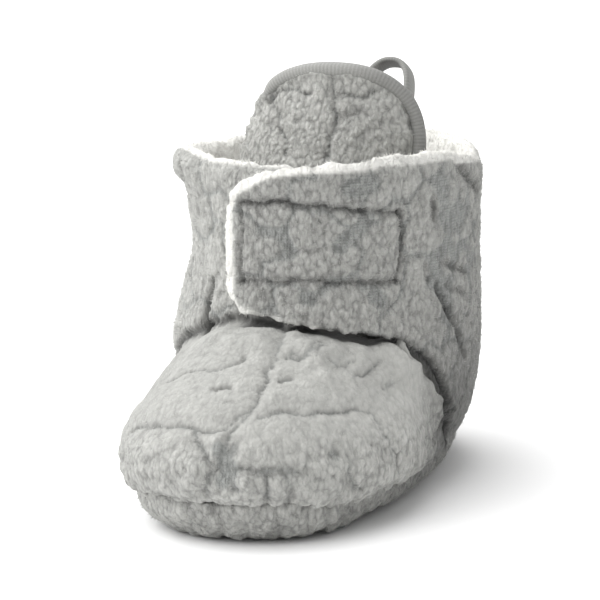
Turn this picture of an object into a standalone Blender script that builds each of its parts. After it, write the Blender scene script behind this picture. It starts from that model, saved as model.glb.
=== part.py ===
"""Soft fleece baby slipper: hollow upper, wrap-over strap, tongue, padded sole and rubber grips.

The toe points along -Y, the heel along +Y, and +Z is up. The slipper stands on its grips at Z = 0.
Sizes are in millimetres. A turn is an angle round the foot in degrees: 0 at the toe, 90 on the +X
side, 180 at the heel and 270 on the -X side.
"""

import math
from collections import namedtuple

import bmesh
import bpy
import numpy as np

MM = 0.001

# Plan of the foot
BALL_Y = -16.0
HEEL_Y = 12.0
TOE_TIP = -57.6
HEEL_TIP = 58.0
BALL_HALF_WIDTH = 28.4
HEEL_HALF_WIDTH = 28.4
OUTLINE_POWER = 2.05
TOE_SKEW = -1.9
SEAT_GAP = 0.3

# Sole
GRIP_THICKNESS = 1.2
SOLE_BOTTOM = GRIP_THICKNESS + SEAT_GAP
SOLE_TOP = 8.2
TOE_SPRING = 1.0
TOE_SPRING_FROM = -45.0
SOLE_STEPS = 72
SoleRing = namedtuple("SoleRing", "inset height spring")
SOLE_RINGS = [
    SoleRing(4.8, SOLE_BOTTOM, 1.0),
    SoleRing(3.0, 1.9, 1.0),
    SoleRing(1.5, 3.0, 1.0),
    SoleRing(0.5, 4.5, 1.0),
    SoleRing(0.0, 6.1, 1.0),
    SoleRing(0.5, 7.4, 1.0),
    SoleRing(1.8, SOLE_TOP, 1.0),
    SoleRing(9.0, SOLE_TOP, 0.0),
]

# Grips
GRIP_ACROSS_FLATS = 10.6
GRIP_EDGE = 0.35
GRIPS_IN_ROW = 5
GripRow = namedtuple("GripRow", "x pitch")
GRIP_ROWS = [
    GripRow(-15.4, 17.2),
    GripRow(-0.6, 21.0),
    GripRow(14.2, 17.2),
]

# Insole
INSOLE_BOTTOM = SOLE_TOP + SEAT_GAP
INSOLE_THICKNESS = 2.0
INSOLE_INSET = 5.4
INSOLE_SPRING = 0.6

# Upper: quarter
UPPER_BOTTOM = SOLE_TOP + SEAT_GAP
QUARTER_WALL = 3.4
QUARTER_Y = 12.0
QUARTER_POWER = 2.1
QUARTER_FROM = 50.0
QUARTER_TO = 374.0
QUARTER_COLUMNS = 66
QUARTER_ROWS = 12
QuarterLevel = namedtuple("QuarterLevel", "height left right front back")
QUARTER_LEVELS = [
    QuarterLevel(UPPER_BOTTOM, 29.2, 29.2, -23.0, 58.0),
    QuarterLevel(14.0, 31.6, 31.8, -24.5, 60.0),
    QuarterLevel(22.0, 33.0, 33.4, -24.5, 60.6),
    QuarterLevel(32.0, 33.2, 34.0, -23.5, 59.6),
    QuarterLevel(42.0, 31.4, 34.0, -22.5, 58.0),
    QuarterLevel(52.0, 29.6, 33.8, -21.8, 57.0),
    QuarterLevel(62.0, 30.2, 33.8, -21.8, 57.2),
    QuarterLevel(70.0, 32.2, 34.2, -22.3, 58.0),
    QuarterLevel(76.0, 32.6, 33.8, -22.6, 58.6),
]
EdgeRow = namedtuple("EdgeRow", "turn low high")
WING_EDGES = [
    EdgeRow(-17.0, 43.4, 69.5),
    EdgeRow(-6.0, 42.6, 72.2),
    EdgeRow(8.0, 41.4, 74.4),
    EdgeRow(20.0, 40.0, 75.0),
    EdgeRow(40.0, 37.0, 75.0),
    EdgeRow(56.0, 32.0, 75.0),
    EdgeRow(68.0, 25.0, 75.0),
    EdgeRow(78.0, 16.5, 75.0),
    EdgeRow(88.0, UPPER_BOTTOM, 75.0),
    EdgeRow(180.0, UPPER_BOTTOM, 75.0),
    EdgeRow(272.0, UPPER_BOTTOM, 75.0),
    EdgeRow(282.0, 16.5, 75.0),
    EdgeRow(292.0, 25.0, 75.0),
    EdgeRow(304.0, 31.0, 75.0),
    EdgeRow(320.0, 36.0, 75.0),
    EdgeRow(340.0, 40.5, 74.8),
    EdgeRow(374.0, 42.5, 74.0),
]

# Strap: the long wing, folded over the short one
STRAP_FROM = -17.0
STRAP_TO = QUARTER_FROM - 0.7
STRAP_LIFT = QUARTER_WALL + 0.5
STRAP_LIFT_FROM = 58.0
STRAP_LIFT_FULL = 16.0
STRAP_CORNER_TURN = 9.0
STRAP_CORNER_HEIGHT = 6.0
STRAP_COLUMNS = 26
STRAP_ROWS = 9

# Upper: vamp
VAMP_WALL = 3.0
VAMP_SWEEP = 108.0
VAMP_MIDDLE_Y = -4.0
VAMP_COLUMNS = 54
VAMP_LOW_ROWS = 4
VAMP_HIGH_ROWS = 12
VAMP_SEAM_INSET = 1.4
VAMP_PUFF = 5.4
VAMP_WIDEST = 14.0
VAMP_LAP = -0.8
VAMP_LAP_FROM = -12.0
VAMP_LAP_FULL = 6.0
VAMP_POWER = 2.06
VAMP_SIDE_POWER = 1.78
VAMP_SIDE_FROM = 0.32
VAMP_SIDE_FULL = 0.66
THROAT_RADIUS = 28.0
THROAT_Y = 14.0
THROAT_SWEEP = 64.0
THROAT_HEIGHT = 40.0
THROAT_CORNER_DROP = 12.0

# Tongue
TONGUE_WALL = 3.0
TONGUE_GAP = 0.45
TONGUE_COLUMNS = 18
TONGUE_ROWS = 16
TONGUE_BOTTOM = 35.0
TONGUE_SHOULDER = 71.0
TONGUE_TOP = 94.2
TONGUE_HALF_WIDTH = 24.4
TONGUE_POWER = 2.3
BINDING_WIDTH = 2.4
BINDING_WALL = 4.0
BINDING_BOTTOM = 52.0
BINDING_STEPS = 40
TongueLean = namedtuple("TongueLean", "height x y")
TONGUE_LEAN = [
    TongueLean(TONGUE_BOTTOM, 0.0, 0.0),
    TongueLean(44.0, 0.0, 0.0),
    TongueLean(56.0, 1.5, 3.5),
    TongueLean(70.0, 3.2, 8.5),
    TongueLean(82.0, 4.3, 12.5),
    TongueLean(TONGUE_TOP, 5.2, 15.5),
]

# Pull loop
LOOP_HALF_SPAN = 6.6
LOOP_HEIGHT = 13.0
LOOP_TAPE_WIDTH = 4.0
LOOP_TAPE_WALL = 1.1
LOOP_LEAN = 24.0
LOOP_POWER = 2.4
LOOP_STEPS = 24
LOOP_SIDE_LEAN = 1.0

Finish = namedtuple("Finish", "color roughness")
FLEECE = Finish((0.44, 0.44, 0.42, 1.0), 0.95)
LINING = Finish((0.90, 0.90, 0.87, 1.0), 0.95)
RIB_TAPE = Finish((0.38, 0.38, 0.37, 1.0), 0.8)
RUBBER = Finish((0.22, 0.24, 0.22, 1.0), 0.6)


def smooth(start, end, value):
    share = np.clip((np.asarray(value, float) - start) / (end - start), 0.0, 1.0)
    return share * share * (3.0 - 2.0 * share)


def mix(first, second, share):
    return first + (second - first) * share


def along(table, column, at):
    """A column of a table at any value of its first column, on a smooth curve through the rows."""
    keys = np.array([row[0] for row in table])
    values = np.array([getattr(row, column) for row in table])
    at = np.clip(np.asarray(at, float), keys[0], keys[-1])
    rises = np.diff(values) / np.diff(keys)
    level = rises[:-1] * rises[1:] <= 0.0
    total = np.where(level, 1.0, rises[:-1] + rises[1:])
    slopes = np.where(level, 0.0, 2.0 * rises[:-1] * rises[1:] / total)
    slopes = np.concatenate([rises[:1], slopes, rises[-1:]])
    left = np.clip(np.searchsorted(keys, at) - 1, 0, len(keys) - 2)
    step = keys[left + 1] - keys[left]
    t = (at - keys[left]) / step
    rise = values[left + 1] - values[left]
    start = slopes[left] * step
    end = slopes[left + 1] * step
    return values[left] + start * t + (3 * rise - 2 * start - end) * t**2 + (start + end - 2 * rise) * t**3


def rounded(angle, power):
    """Cosine and sine drawn towards a square by the power; 2 leaves a circle."""
    share = 2.0 / power
    cosine = np.cos(np.radians(angle))
    sine = np.sin(np.radians(angle))
    return np.sign(cosine) * np.abs(cosine) ** share, np.sign(sine) * np.abs(sine) ** share


def sole_outline(turn, inset=0.0):
    turn = np.asarray(turn, float)
    fold = 180.0 - np.abs(np.mod(turn, 360.0) - 180.0)
    back = smooth(45.0, 135.0, fold)
    cosine, sine = rounded(turn, OUTLINE_POWER)
    middle = mix(BALL_Y, HEEL_Y, back)
    reach = mix(BALL_Y - TOE_TIP, HEEL_TIP - HEEL_Y, back) - inset
    half = mix(BALL_HALF_WIDTH, HEEL_HALF_WIDTH, back) - inset
    y = middle - reach * cosine
    return half * sine + TOE_SKEW * smooth(BALL_Y, TOE_TIP, y), y


def toe_spring(y):
    return TOE_SPRING * smooth(TOE_SPRING_FROM, TOE_TIP, y)


def quarter_surface(turn, height, offset):
    """A point on the quarter's outer form, moved straight out by the offset."""
    fold = 180.0 - np.abs(np.mod(turn, 360.0) - 180.0)
    back = smooth(60.0, 120.0, fold)
    cosine, sine = rounded(turn, QUARTER_POWER)
    left = along(QUARTER_LEVELS, "left", height)
    right = along(QUARTER_LEVELS, "right", height)
    half = np.where(sine < 0.0, left, right) + offset
    front = QUARTER_Y - along(QUARTER_LEVELS, "front", height) + offset
    rear = along(QUARTER_LEVELS, "back", height) - QUARTER_Y + offset
    reach = mix(front, rear, back)
    return np.stack([half * sine, QUARTER_Y - reach * cosine, height], axis=-1)


def wing_sheet(turns, rows, lift, low, high, wall):
    """Outer and inner grids of a strip round the ankle, a column for each turn."""
    share = np.linspace(0.0, 1.0, rows)[:, None]
    height = low[None, :] + (high - low)[None, :] * share
    turn = np.broadcast_to(turns[None, :], height.shape)
    lift = np.broadcast_to(lift[None, :], height.shape)
    return quarter_surface(turn, height, lift), quarter_surface(turn, height, lift - wall)


def vamp_surface(column, rows_low, rows_high):
    """Outer grid of the vamp: each column climbs from the sole seam over the dome to the throat."""
    seam_x, seam_y = sole_outline(column * VAMP_SWEEP)
    lap = VAMP_LAP * smooth(VAMP_LAP_FROM, VAMP_LAP_FULL, seam_y)
    seam_x = seam_x - np.sign(seam_x) * lap
    puff = VAMP_PUFF * (1.0 - smooth(VAMP_LAP_FROM - 14.0, VAMP_LAP_FULL, seam_y))
    beta = np.radians(column * THROAT_SWEEP)
    throat_x = THROAT_RADIUS * np.sin(beta)
    throat_y = THROAT_Y - THROAT_RADIUS * np.cos(beta)
    throat_z = THROAT_HEIGHT - THROAT_CORNER_DROP * column**2
    reach = np.hypot(seam_x, seam_y - VAMP_MIDDLE_Y)
    away_x = seam_x / reach
    away_y = (seam_y - VAMP_MIDDLE_Y) / reach
    bottom = UPPER_BOTTOM + toe_spring(seam_y)
    widest = VAMP_WIDEST + toe_spring(seam_y)
    side = smooth(VAMP_SIDE_FROM, VAMP_SIDE_FULL, np.abs(column))
    power = mix(VAMP_POWER, VAMP_SIDE_POWER, side)
    rows = []
    for share in np.linspace(0.0, 1.0, rows_low, endpoint=False):
        out = mix(-VAMP_SEAM_INSET, puff, math.sin(share * math.pi / 2))
        rows.append((seam_x + away_x * out, seam_y + away_y * out, mix(bottom, widest, share)))
    for angle in np.linspace(0.0, 90.0, rows_high):
        cosine, sine = rounded(angle, power)
        x = mix(throat_x, seam_x + away_x * puff, cosine)
        y = mix(throat_y, seam_y + away_y * puff, cosine)
        rows.append((x, y, mix(widest, throat_z, sine)))
    return np.stack([np.stack(row, axis=-1) for row in rows])


def inward(grid, wall, keep_height_rows):
    """The grid moved in by the wall along its own normals; the first rows keep their height."""
    across = np.gradient(grid, axis=1)
    up = np.gradient(grid, axis=0)
    normal = np.cross(across, up)
    normal = normal / np.linalg.norm(normal, axis=-1, keepdims=True)
    moved = grid - normal * wall
    moved[:keep_height_rows, :, 2] = grid[:keep_height_rows, :, 2]
    return moved


def tongue_point(x, height, depth):
    """A point of the tongue: x across it, height up it, depth behind its front face."""
    radius = THROAT_RADIUS - TONGUE_GAP - depth
    angle = x / (THROAT_RADIUS - TONGUE_GAP)
    lean_x = along(TONGUE_LEAN, "x", height)
    lean_y = along(TONGUE_LEAN, "y", height)
    return np.stack(
        [
            radius * np.sin(angle) + lean_x,
            THROAT_Y - radius * np.cos(angle) + lean_y,
            height + 0.0 * x,
        ],
        axis=-1,
    )


def tongue_outline(angle, inset):
    """Across and up, from the -X side (0) over the rounded top (90) to the +X side (180)."""
    cosine, sine = rounded(angle, TONGUE_POWER)
    across = -(TONGUE_HALF_WIDTH - inset) * cosine
    up = TONGUE_SHOULDER + (TONGUE_TOP - TONGUE_SHOULDER - inset) * sine
    return across, up


def add_mesh(name, points, faces, finish):
    mesh = bpy.data.meshes.new(name)
    mesh.from_pydata([tuple(p) for p in np.asarray(points) * MM], [], faces)
    work = bmesh.new()
    work.from_mesh(mesh)
    bmesh.ops.recalc_face_normals(work, faces=work.faces)
    if work.calc_volume(signed=True) < 0:
        bmesh.ops.reverse_faces(work, faces=work.faces)
    work.to_mesh(mesh)
    work.free()
    material = bpy.data.materials.get(finish_name(finish)) or new_material(finish)
    mesh.materials.append(material)
    obj = bpy.data.objects.new(name, mesh)
    bpy.context.scene.collection.objects.link(obj)
    return obj


def finish_name(finish):
    return {FLEECE: "fleece", LINING: "lining_fleece", RIB_TAPE: "rib_tape", RUBBER: "rubber"}[finish]


def new_material(finish):
    material = bpy.data.materials.new(finish_name(finish))
    material.use_nodes = True
    shader = material.node_tree.nodes["Principled BSDF"]
    shader.inputs["Base Color"].default_value = finish.color
    shader.inputs["Roughness"].default_value = finish.roughness
    return material


def add_shell(name, outer, inner, finish):
    """A sheet of real thickness between two grids, closed round its four edges."""
    rows, columns = outer.shape[:2]
    points = np.concatenate([outer.reshape(-1, 3), inner.reshape(-1, 3)])
    back = rows * columns
    faces = []
    for r in range(rows - 1):
        for c in range(columns - 1):
            corner = r * columns + c
            quad = (corner, corner + 1, corner + columns + 1, corner + columns)
            faces.append(quad)
            faces.append(tuple(back + i for i in reversed(quad)))
    rim = [(0, c) for c in range(columns - 1)]
    rim += [(r, columns - 1) for r in range(rows - 1)]
    rim += [(rows - 1, c) for c in range(columns - 1, 0, -1)]
    rim += [(r, 0) for r in range(rows - 1, 0, -1)]
    rim = [r * columns + c for r, c in rim]
    for first, second in zip(rim, rim[1:] + rim[:1]):
        faces.append((second, first, back + first, back + second))
    return add_mesh(name, points, faces, finish)


def add_stack(name, rings, finish):
    """A solid through closed rings of equal count, capped by its first and last ring."""
    count = len(rings[0])
    faces = []
    for r in range(len(rings) - 1):
        for c in range(count):
            low = r * count + c
            next_low = r * count + (c + 1) % count
            faces.append((low, next_low, next_low + count, low + count))
    faces.append(tuple(reversed(range(count))))
    last = (len(rings) - 1) * count
    faces.append(tuple(range(last, last + count)))
    return add_mesh(name, np.concatenate(rings), faces, finish)


def add_ribbon(name, path, side, out, width, wall, finish):
    """A strip of the width and wall swept along a path, capped at both ends."""
    half_width = width / 2
    half_wall = wall / 2
    corners = [(-1, -1), (1, -1), (1, 1), (-1, 1)]
    rings = [path + side * half_width * a + out * half_wall * b for a, b in corners]
    grid = np.stack(rings, axis=1)
    return add_stack(name, list(grid), finish)


def build_sole():
    turns = np.arange(SOLE_STEPS) * 360.0 / SOLE_STEPS
    rings = []
    for ring in SOLE_RINGS:
        x, y = sole_outline(turns, ring.inset)
        z = ring.height + ring.spring * toe_spring(y)
        rings.append(np.stack([x, y, z], axis=-1))
    add_stack("sole", rings, FLEECE)


def build_insole():
    turns = np.arange(SOLE_STEPS) * 360.0 / SOLE_STEPS
    x, y = sole_outline(turns, INSOLE_INSET)
    lap = VAMP_LAP * smooth(VAMP_LAP_FROM, VAMP_LAP_FULL, y)
    x = x - np.sign(x) * np.minimum(lap, np.abs(x) / 4)
    rim_y = sole_outline(turns, SOLE_RINGS[-2].inset)[1]
    lift = INSOLE_SPRING * toe_spring(rim_y)
    low = np.stack([x, y, INSOLE_BOTTOM + lift], axis=-1)
    high = np.stack([x, y, INSOLE_BOTTOM + INSOLE_THICKNESS + lift], axis=-1)
    add_stack("insole", [low, high], LINING)


def build_grips():
    radius = GRIP_ACROSS_FLATS / math.sqrt(3.0)
    number = 0
    for row in GRIP_ROWS:
        for place in range(GRIPS_IN_ROW):
            number += 1
            y = (place - (GRIPS_IN_ROW - 1) / 2) * row.pitch
            rings = []
            for height, inset in ((0.0, GRIP_EDGE), (GRIP_EDGE, 0.0), (GRIP_THICKNESS, 0.0)):
                angle = np.radians(np.arange(6) * 60.0)
                size = radius - inset
                ring = [row.x + size * np.cos(angle), y + size * np.sin(angle), np.full(6, height)]
                rings.append(np.stack(ring, axis=-1))
            add_stack(f"grip_{number:02d}", rings, RUBBER)


def build_upper():
    turns = np.linspace(QUARTER_FROM, QUARTER_TO, QUARTER_COLUMNS)
    low = along(WING_EDGES, "low", turns)
    high = along(WING_EDGES, "high", turns)
    outer, inner = wing_sheet(turns, QUARTER_ROWS, np.zeros_like(turns), low, high, QUARTER_WALL)
    quarter = add_shell("upper", outer, inner, FLEECE)
    column = np.linspace(-1.0, 1.0, VAMP_COLUMNS)
    outer = vamp_surface(column, VAMP_LOW_ROWS, VAMP_HIGH_ROWS)
    vamp = add_shell("vamp_form", outer, inward(outer, VAMP_WALL, VAMP_LOW_ROWS), FLEECE)
    vamp.hide_render = True
    vamp.display_type = "WIRE"
    join = quarter.modifiers.new("vamp", "BOOLEAN")
    join.operation = "UNION"
    join.solver = "EXACT"
    join.object = vamp


def build_strap():
    turns = np.linspace(STRAP_FROM, STRAP_TO, STRAP_COLUMNS)
    low = along(WING_EDGES, "low", turns)
    high = along(WING_EDGES, "high", turns)
    from_end = np.clip((turns - STRAP_FROM) / STRAP_CORNER_TURN, 0.0, 1.0)
    cut = STRAP_CORNER_HEIGHT * (1.0 - np.sqrt(1.0 - (1.0 - from_end) ** 2))
    lift = STRAP_LIFT * smooth(STRAP_LIFT_FROM, STRAP_LIFT_FULL, turns)
    outer, inner = wing_sheet(turns, STRAP_ROWS, lift, low + cut, high - cut, QUARTER_WALL)
    add_shell("strap", outer, inner, FLEECE)


def build_tongue():
    share = np.linspace(-1.0, 1.0, TONGUE_COLUMNS)
    angle = np.degrees(np.arccos(np.sign(-share) * np.abs(share) ** (TONGUE_POWER / 2)))
    across, top = tongue_outline(angle, BINDING_WIDTH + SEAT_GAP)
    rise = np.linspace(0.0, 1.0, TONGUE_ROWS)[:, None]
    height = TONGUE_BOTTOM + (top - TONGUE_BOTTOM)[None, :] * rise
    across = np.broadcast_to(across[None, :], height.shape)
    front = tongue_point(across, height, 0.0)
    back = tongue_point(across, height, TONGUE_WALL)
    add_shell("tongue", front, back, FLEECE)


def build_binding():
    angle = np.linspace(0.0, 180.0, BINDING_STEPS)
    across, up = tongue_outline(angle, BINDING_WIDTH / 2)
    leg = np.linspace(BINDING_BOTTOM, TONGUE_SHOULDER, 8, endpoint=False)
    across = np.concatenate([np.full_like(leg, across[0]), across, np.full_like(leg, across[-1])])
    up = np.concatenate([leg, up, leg[::-1]])
    middle = TONGUE_WALL / 2
    path = tongue_point(across, up, middle)
    behind = tongue_point(across, up, middle + 1.0)
    out = behind - path
    out = out / np.linalg.norm(out, axis=-1, keepdims=True)
    run = np.gradient(path, axis=0)
    run = run / np.linalg.norm(run, axis=-1, keepdims=True)
    side = np.cross(run, out)
    add_ribbon("tongue_binding", path, side, out, BINDING_WIDTH, BINDING_WALL, RIB_TAPE)


def build_pull_loop():
    rim = float(along(WING_EDGES, "high", 180.0))
    angle = np.linspace(0.0, 180.0, LOOP_STEPS)
    cosine, sine = rounded(angle, LOOP_POWER)
    rise = LOOP_HEIGHT * sine
    x = -LOOP_HALF_SPAN * cosine + LOOP_SIDE_LEAN * sine
    foot_turn = 180.0 - math.degrees(math.asin(LOOP_HALF_SPAN / float(along(QUARTER_LEVELS, "right", rim))))
    foot_y = quarter_surface(np.array(foot_turn), np.array(rim), -QUARTER_WALL / 2)[1]
    lean = np.radians(LOOP_LEAN * smooth(0.0, LOOP_HEIGHT, rise))
    path = np.stack([x, foot_y + rise * np.sin(lean), rim + SEAT_GAP + rise * np.cos(lean)], axis=-1)
    run = np.gradient(path, axis=0)
    run = run / np.linalg.norm(run, axis=-1, keepdims=True)
    lean_axis = np.stack([0.0 * x, np.cos(lean), -np.sin(lean)], axis=-1)
    out = np.cross(run, lean_axis)
    out = out / np.linalg.norm(out, axis=-1, keepdims=True)
    side = np.cross(out, run)
    add_ribbon("pull_loop", path, side, out, LOOP_TAPE_WIDTH, LOOP_TAPE_WALL, RIB_TAPE)


def main():
    for obj in list(bpy.data.objects):
        bpy.data.objects.remove(obj, do_unlink=True)
    build_sole()
    build_insole()
    build_grips()
    build_upper()
    build_strap()
    build_tongue()
    build_binding()
    build_pull_loop()


main()
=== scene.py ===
import math
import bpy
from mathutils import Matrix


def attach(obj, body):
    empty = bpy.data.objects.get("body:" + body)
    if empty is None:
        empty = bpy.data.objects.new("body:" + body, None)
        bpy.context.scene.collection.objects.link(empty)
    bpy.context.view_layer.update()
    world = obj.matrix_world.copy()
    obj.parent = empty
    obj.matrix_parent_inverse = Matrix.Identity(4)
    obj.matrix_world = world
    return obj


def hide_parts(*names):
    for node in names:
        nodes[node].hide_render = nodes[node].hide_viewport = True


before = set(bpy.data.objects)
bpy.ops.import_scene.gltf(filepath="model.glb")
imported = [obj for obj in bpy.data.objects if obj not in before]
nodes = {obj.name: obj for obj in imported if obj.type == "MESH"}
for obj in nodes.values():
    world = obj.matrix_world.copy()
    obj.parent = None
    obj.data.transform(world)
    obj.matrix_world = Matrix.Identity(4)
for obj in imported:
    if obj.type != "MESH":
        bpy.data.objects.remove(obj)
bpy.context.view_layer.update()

from types import SimpleNamespace

import bpy
import numpy as np
from mathutils import Matrix, Vector
from mathutils.bvhtree import BVHTree
from mathutils.kdtree import KDTree

mm = 0.001
far = 1e3  # further than any two points of the slipper

# plan of the foot in mm: its middle line runs from ballY to heelY, and the ankle stands round ankleY
toeTip = -57.6
ballY = -16.0
heelY = 12.0
ankleY = 14.0
heelTip = 58.0
halfWidth = 28.4


# small helpers

def pickOnly(*pieces):
    bpy.ops.object.select_all(action="DESELECT")
    for piece in pieces:
        piece.select_set(True)
    bpy.context.view_layer.objects.active = pieces[0]


# one mesh step on the whole of a piece
def editAll(piece, step, **settings):
    pickOnly(piece)
    bpy.ops.object.mode_set(mode="EDIT")
    bpy.ops.mesh.select_all(action="SELECT")
    step(**settings)
    bpy.ops.object.mode_set(mode="OBJECT")


# a copy with a mesh of its own
def twinOf(piece):
    twin = piece.copy()
    twin.data = piece.data.copy()
    return twin


def copyOf(nodeName, newName):
    piece = twinOf(nodes[nodeName])
    piece.parent = None
    piece.name = newName
    for key in list(piece.keys()):
        del piece[key]
    bpy.context.scene.collection.objects.link(piece)
    editAll(piece, bpy.ops.mesh.remove_doubles, threshold=0.01 * mm)
    return piece


# a new piece from points in mm
def newPiece(name, points, faces):
    mesh = bpy.data.meshes.new(name)
    mesh.from_pydata(points * mm, [], faces)
    piece = bpy.data.objects.new(name, mesh)
    bpy.context.scene.collection.objects.link(piece)
    return piece


def finishWith(piece, kind, **settings):
    pickOnly(piece)
    modifier = piece.modifiers.new(kind.lower(), kind)
    for key, value in settings.items():
        setattr(modifier, key, value)
    bpy.ops.object.modifier_apply(modifier=modifier.name)


def placesOf(piece):
    places = np.empty(len(piece.data.vertices) * 3, np.float32)
    piece.data.vertices.foreach_get("co", places)
    return places.reshape(-1, 3).astype(float) / mm  # millimetres


def normalsOf(piece):
    normals = np.empty(len(piece.data.vertices) * 3, np.float32)
    piece.data.vertex_normals.foreach_get("vector", normals)
    return normals.reshape(-1, 3).astype(float)


def putPlaces(piece, places):
    piece.data.vertices.foreach_set("co", (places * mm).astype(np.float32).ravel())
    piece.data.update()


# values at each point for the materials to read
def noteOn(piece, **notes):
    for name, values in notes.items():
        attribute = piece.data.attributes.new(name, "FLOAT", "POINT")
        attribute.data.foreach_set("value", np.asarray(values, np.float32))


def ease(start, end, value):
    share = np.clip((value - start) / (end - start), 0.0, 1.0)
    return share * share * (3.0 - 2.0 * share)


# rises over the first span and falls over the second
def within(value, rise, fall):
    return ease(*rise, value) * ease(*fall, value)


def unit(vectors):
    return vectors / np.maximum(np.linalg.norm(vectors, axis=-1, keepdims=True), 1e-9)


def alongRows(rows, column, at):
    return np.interp(at, [row[0] for row in rows], [row[column] for row in rows])


# smooth noise from -1 to 1 with lumps of the given size in mm
def softNoise(places, size, seed):
    count = 32
    lattice = np.random.default_rng(seed).random((count, count, count)) * 2.0 - 1.0
    q = np.asarray(places) / size
    low = np.floor(q).astype(int)
    f = q - low
    f = f * f * (3.0 - 2.0 * f)
    total = np.zeros(len(q))
    for step in np.ndindex(2, 2, 2):
        weight = np.prod(np.abs(1 - np.array(step) - f), axis=1)
        corner = (low + step) % count
        total += weight * lattice[tuple(corner.T)]
    return total


# the same along three axes
def softDrift(places, size, seed):
    return np.stack([softNoise(places, size, seed + k) for k in range(3)], axis=1)


# gap to the nearest of many jittered points, about one to a cube of the given size in mm
def nubGap(places, size, seed):
    q = places / size
    low = np.floor(q).astype(int)
    count = 24
    jitter = np.random.default_rng(seed).random((count, count, count, 3))
    best = np.full(len(q), far)
    for step in np.ndindex(3, 3, 3):
        cell = low + step - 1
        near = cell + jitter[tuple((cell % count).T)]
        best = np.minimum(best, np.sum((q - near) ** 2, axis=1))
    return np.sqrt(best)


# points spread over a surface at least `apart` mm from each other
def scatter(places, apart, seed):
    order = np.random.default_rng(seed).permutation(len(places))
    kept = np.empty((0, 3))
    for i in order:
        if len(kept) == 0 or np.min(np.sum((kept - places[i]) ** 2, axis=1)) > apart * apart:
            kept = np.vstack([kept, places[i]])
    return kept


# a smooth line through a few points, a point about every `step` mm
def threadThrough(points, step=0.5):
    points = np.asarray(points, float)
    ends = np.vstack([2 * points[0] - points[1], points, 2 * points[-1] - points[-2]])
    line = []
    for a, b, c, d in zip(ends, ends[1:], ends[2:], ends[3:]):
        t = np.linspace(0.0, 1.0, max(2, int(np.linalg.norm(c - b) / step)), endpoint=False)[:, None]
        bow = (2 * a - 5 * b + 4 * c - d) * t**2 + (3 * b - a - 3 * c + d) * t**3
        line.append(0.5 * (2 * b + (c - a) * t + bow))
    return np.vstack(line + [points[-1:]])


def runAlong(path):
    return np.concatenate([[0.0], np.cumsum(np.linalg.norm(np.diff(path, axis=0), axis=1))])


# points at even steps along a path
def evenly(path, step):
    run = runAlong(path)
    at = np.linspace(0.0, run[-1], int(run[-1] / step))
    return np.stack([np.interp(at, run, path[:, k]) for k in range(path.shape[1])], axis=1)


# gap from each point to a line, for the points within reach of it
def farFrom(places, line, reach):
    gap = np.full(len(places), far)
    near = np.all((places > line.min(0) - reach) & (places < line.max(0) + reach), axis=1)
    index = np.flatnonzero(near)
    for part in np.array_split(index, max(1, len(index) // 4000)):
        if len(part):
            gap[part] = np.sqrt(np.min(np.sum((places[part][:, None] - line[None]) ** 2, axis=2), axis=1))
    return gap


lastSkin = {}


# search tree over a skin's points, kept while the same skin is worked on
def treeOf(places):
    if lastSkin.get("places") is not places:
        tree = KDTree(len(places))
        for i, place in enumerate(places):
            tree.insert(place, i)
        tree.balance()
        lastSkin.update(places=places, tree=tree)
    return lastSkin["tree"]


# a laid line, wandering a little and set down on the nearest points of a skin
def laidOn(places, points, wander, seed):
    line = threadThrough(points)
    line = line + wander * softDrift(line, 3.0, seed)
    return np.array([treeOf(places).find(place)[0] for place in line])


def linear(hexColour):
    parts = [int(hexColour[i:i + 2], 16) / 255 for i in (1, 3, 5)]
    return tuple(c / 12.92 if c <= 0.04045 else ((c + 0.055) / 1.055) ** 2.4 for c in parts) + (1.0,)


def addNode(tree, kind, values=None, links=None, **settings):
    node = tree.nodes.new(kind)
    for key, value in settings.items():
        setattr(node, key, value)
    for key, value in (values or {}).items():
        node.inputs[key].default_value = value
    for key, source in (links or {}).items():
        tree.links.new(source, node.inputs[key])
    return node


spanSockets = ("From Min", "From Max", "To Min", "To Max")


def colourOf(node):
    return next(socket for socket in node.outputs if socket.type == "RGBA")


def newMaterial(name, **sockets):
    material = bpy.data.materials.new(name)
    material.use_nodes = True
    tree = material.node_tree
    shader = tree.nodes["Principled BSDF"]
    for key, value in sockets.items():
        shader.inputs[key.replace("_", " ")].default_value = value
    return material, tree, shader


# a fine grain over a material: it mottles the colour and raises the surface; a tone row is noise
# from and to, then tone from and to
def grainOver(tree, shader, look, colour=None, shade=None):
    where = addNode(tree, "ShaderNodeTexCoord").outputs["Object"]
    grain = addNode(tree, "ShaderNodeTexNoise", {"Scale": 1 / (look["grain"] * mm), "Detail": look["detail"]},
                    {"Vector": where}).outputs["Fac"]
    tone = addNode(tree, "ShaderNodeMapRange", dict(zip(spanSockets, look["tone"])),
                   {"Value": grain}).outputs["Result"]
    # a shade note, where given, multiplies in the painted shade
    if shade is not None:
        tone = addNode(tree, "ShaderNodeMath", links={0: tone, 1: shade}, operation="MULTIPLY").outputs[0]
    toned = addNode(tree, "ShaderNodeVectorMath", {0: linear(look["colour"])[:3]}, {"Scale": tone},
                    operation="SCALE")
    if colour is not None:
        tree.links.new(colour, toned.inputs[0])
    tree.links.new(toned.outputs[0], shader.inputs["Base Color"])
    bump = addNode(tree, "ShaderNodeBump", {"Strength": look["bump"], "Distance": look["bumpHeight"] * mm},
                   {"Height": grain})
    tree.links.new(bump.outputs["Normal"], shader.inputs["Normal"])


def wear(piece, material):
    piece.data.materials.clear()
    piece.data.materials.append(material)
    piece.data.shade_smooth()


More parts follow.
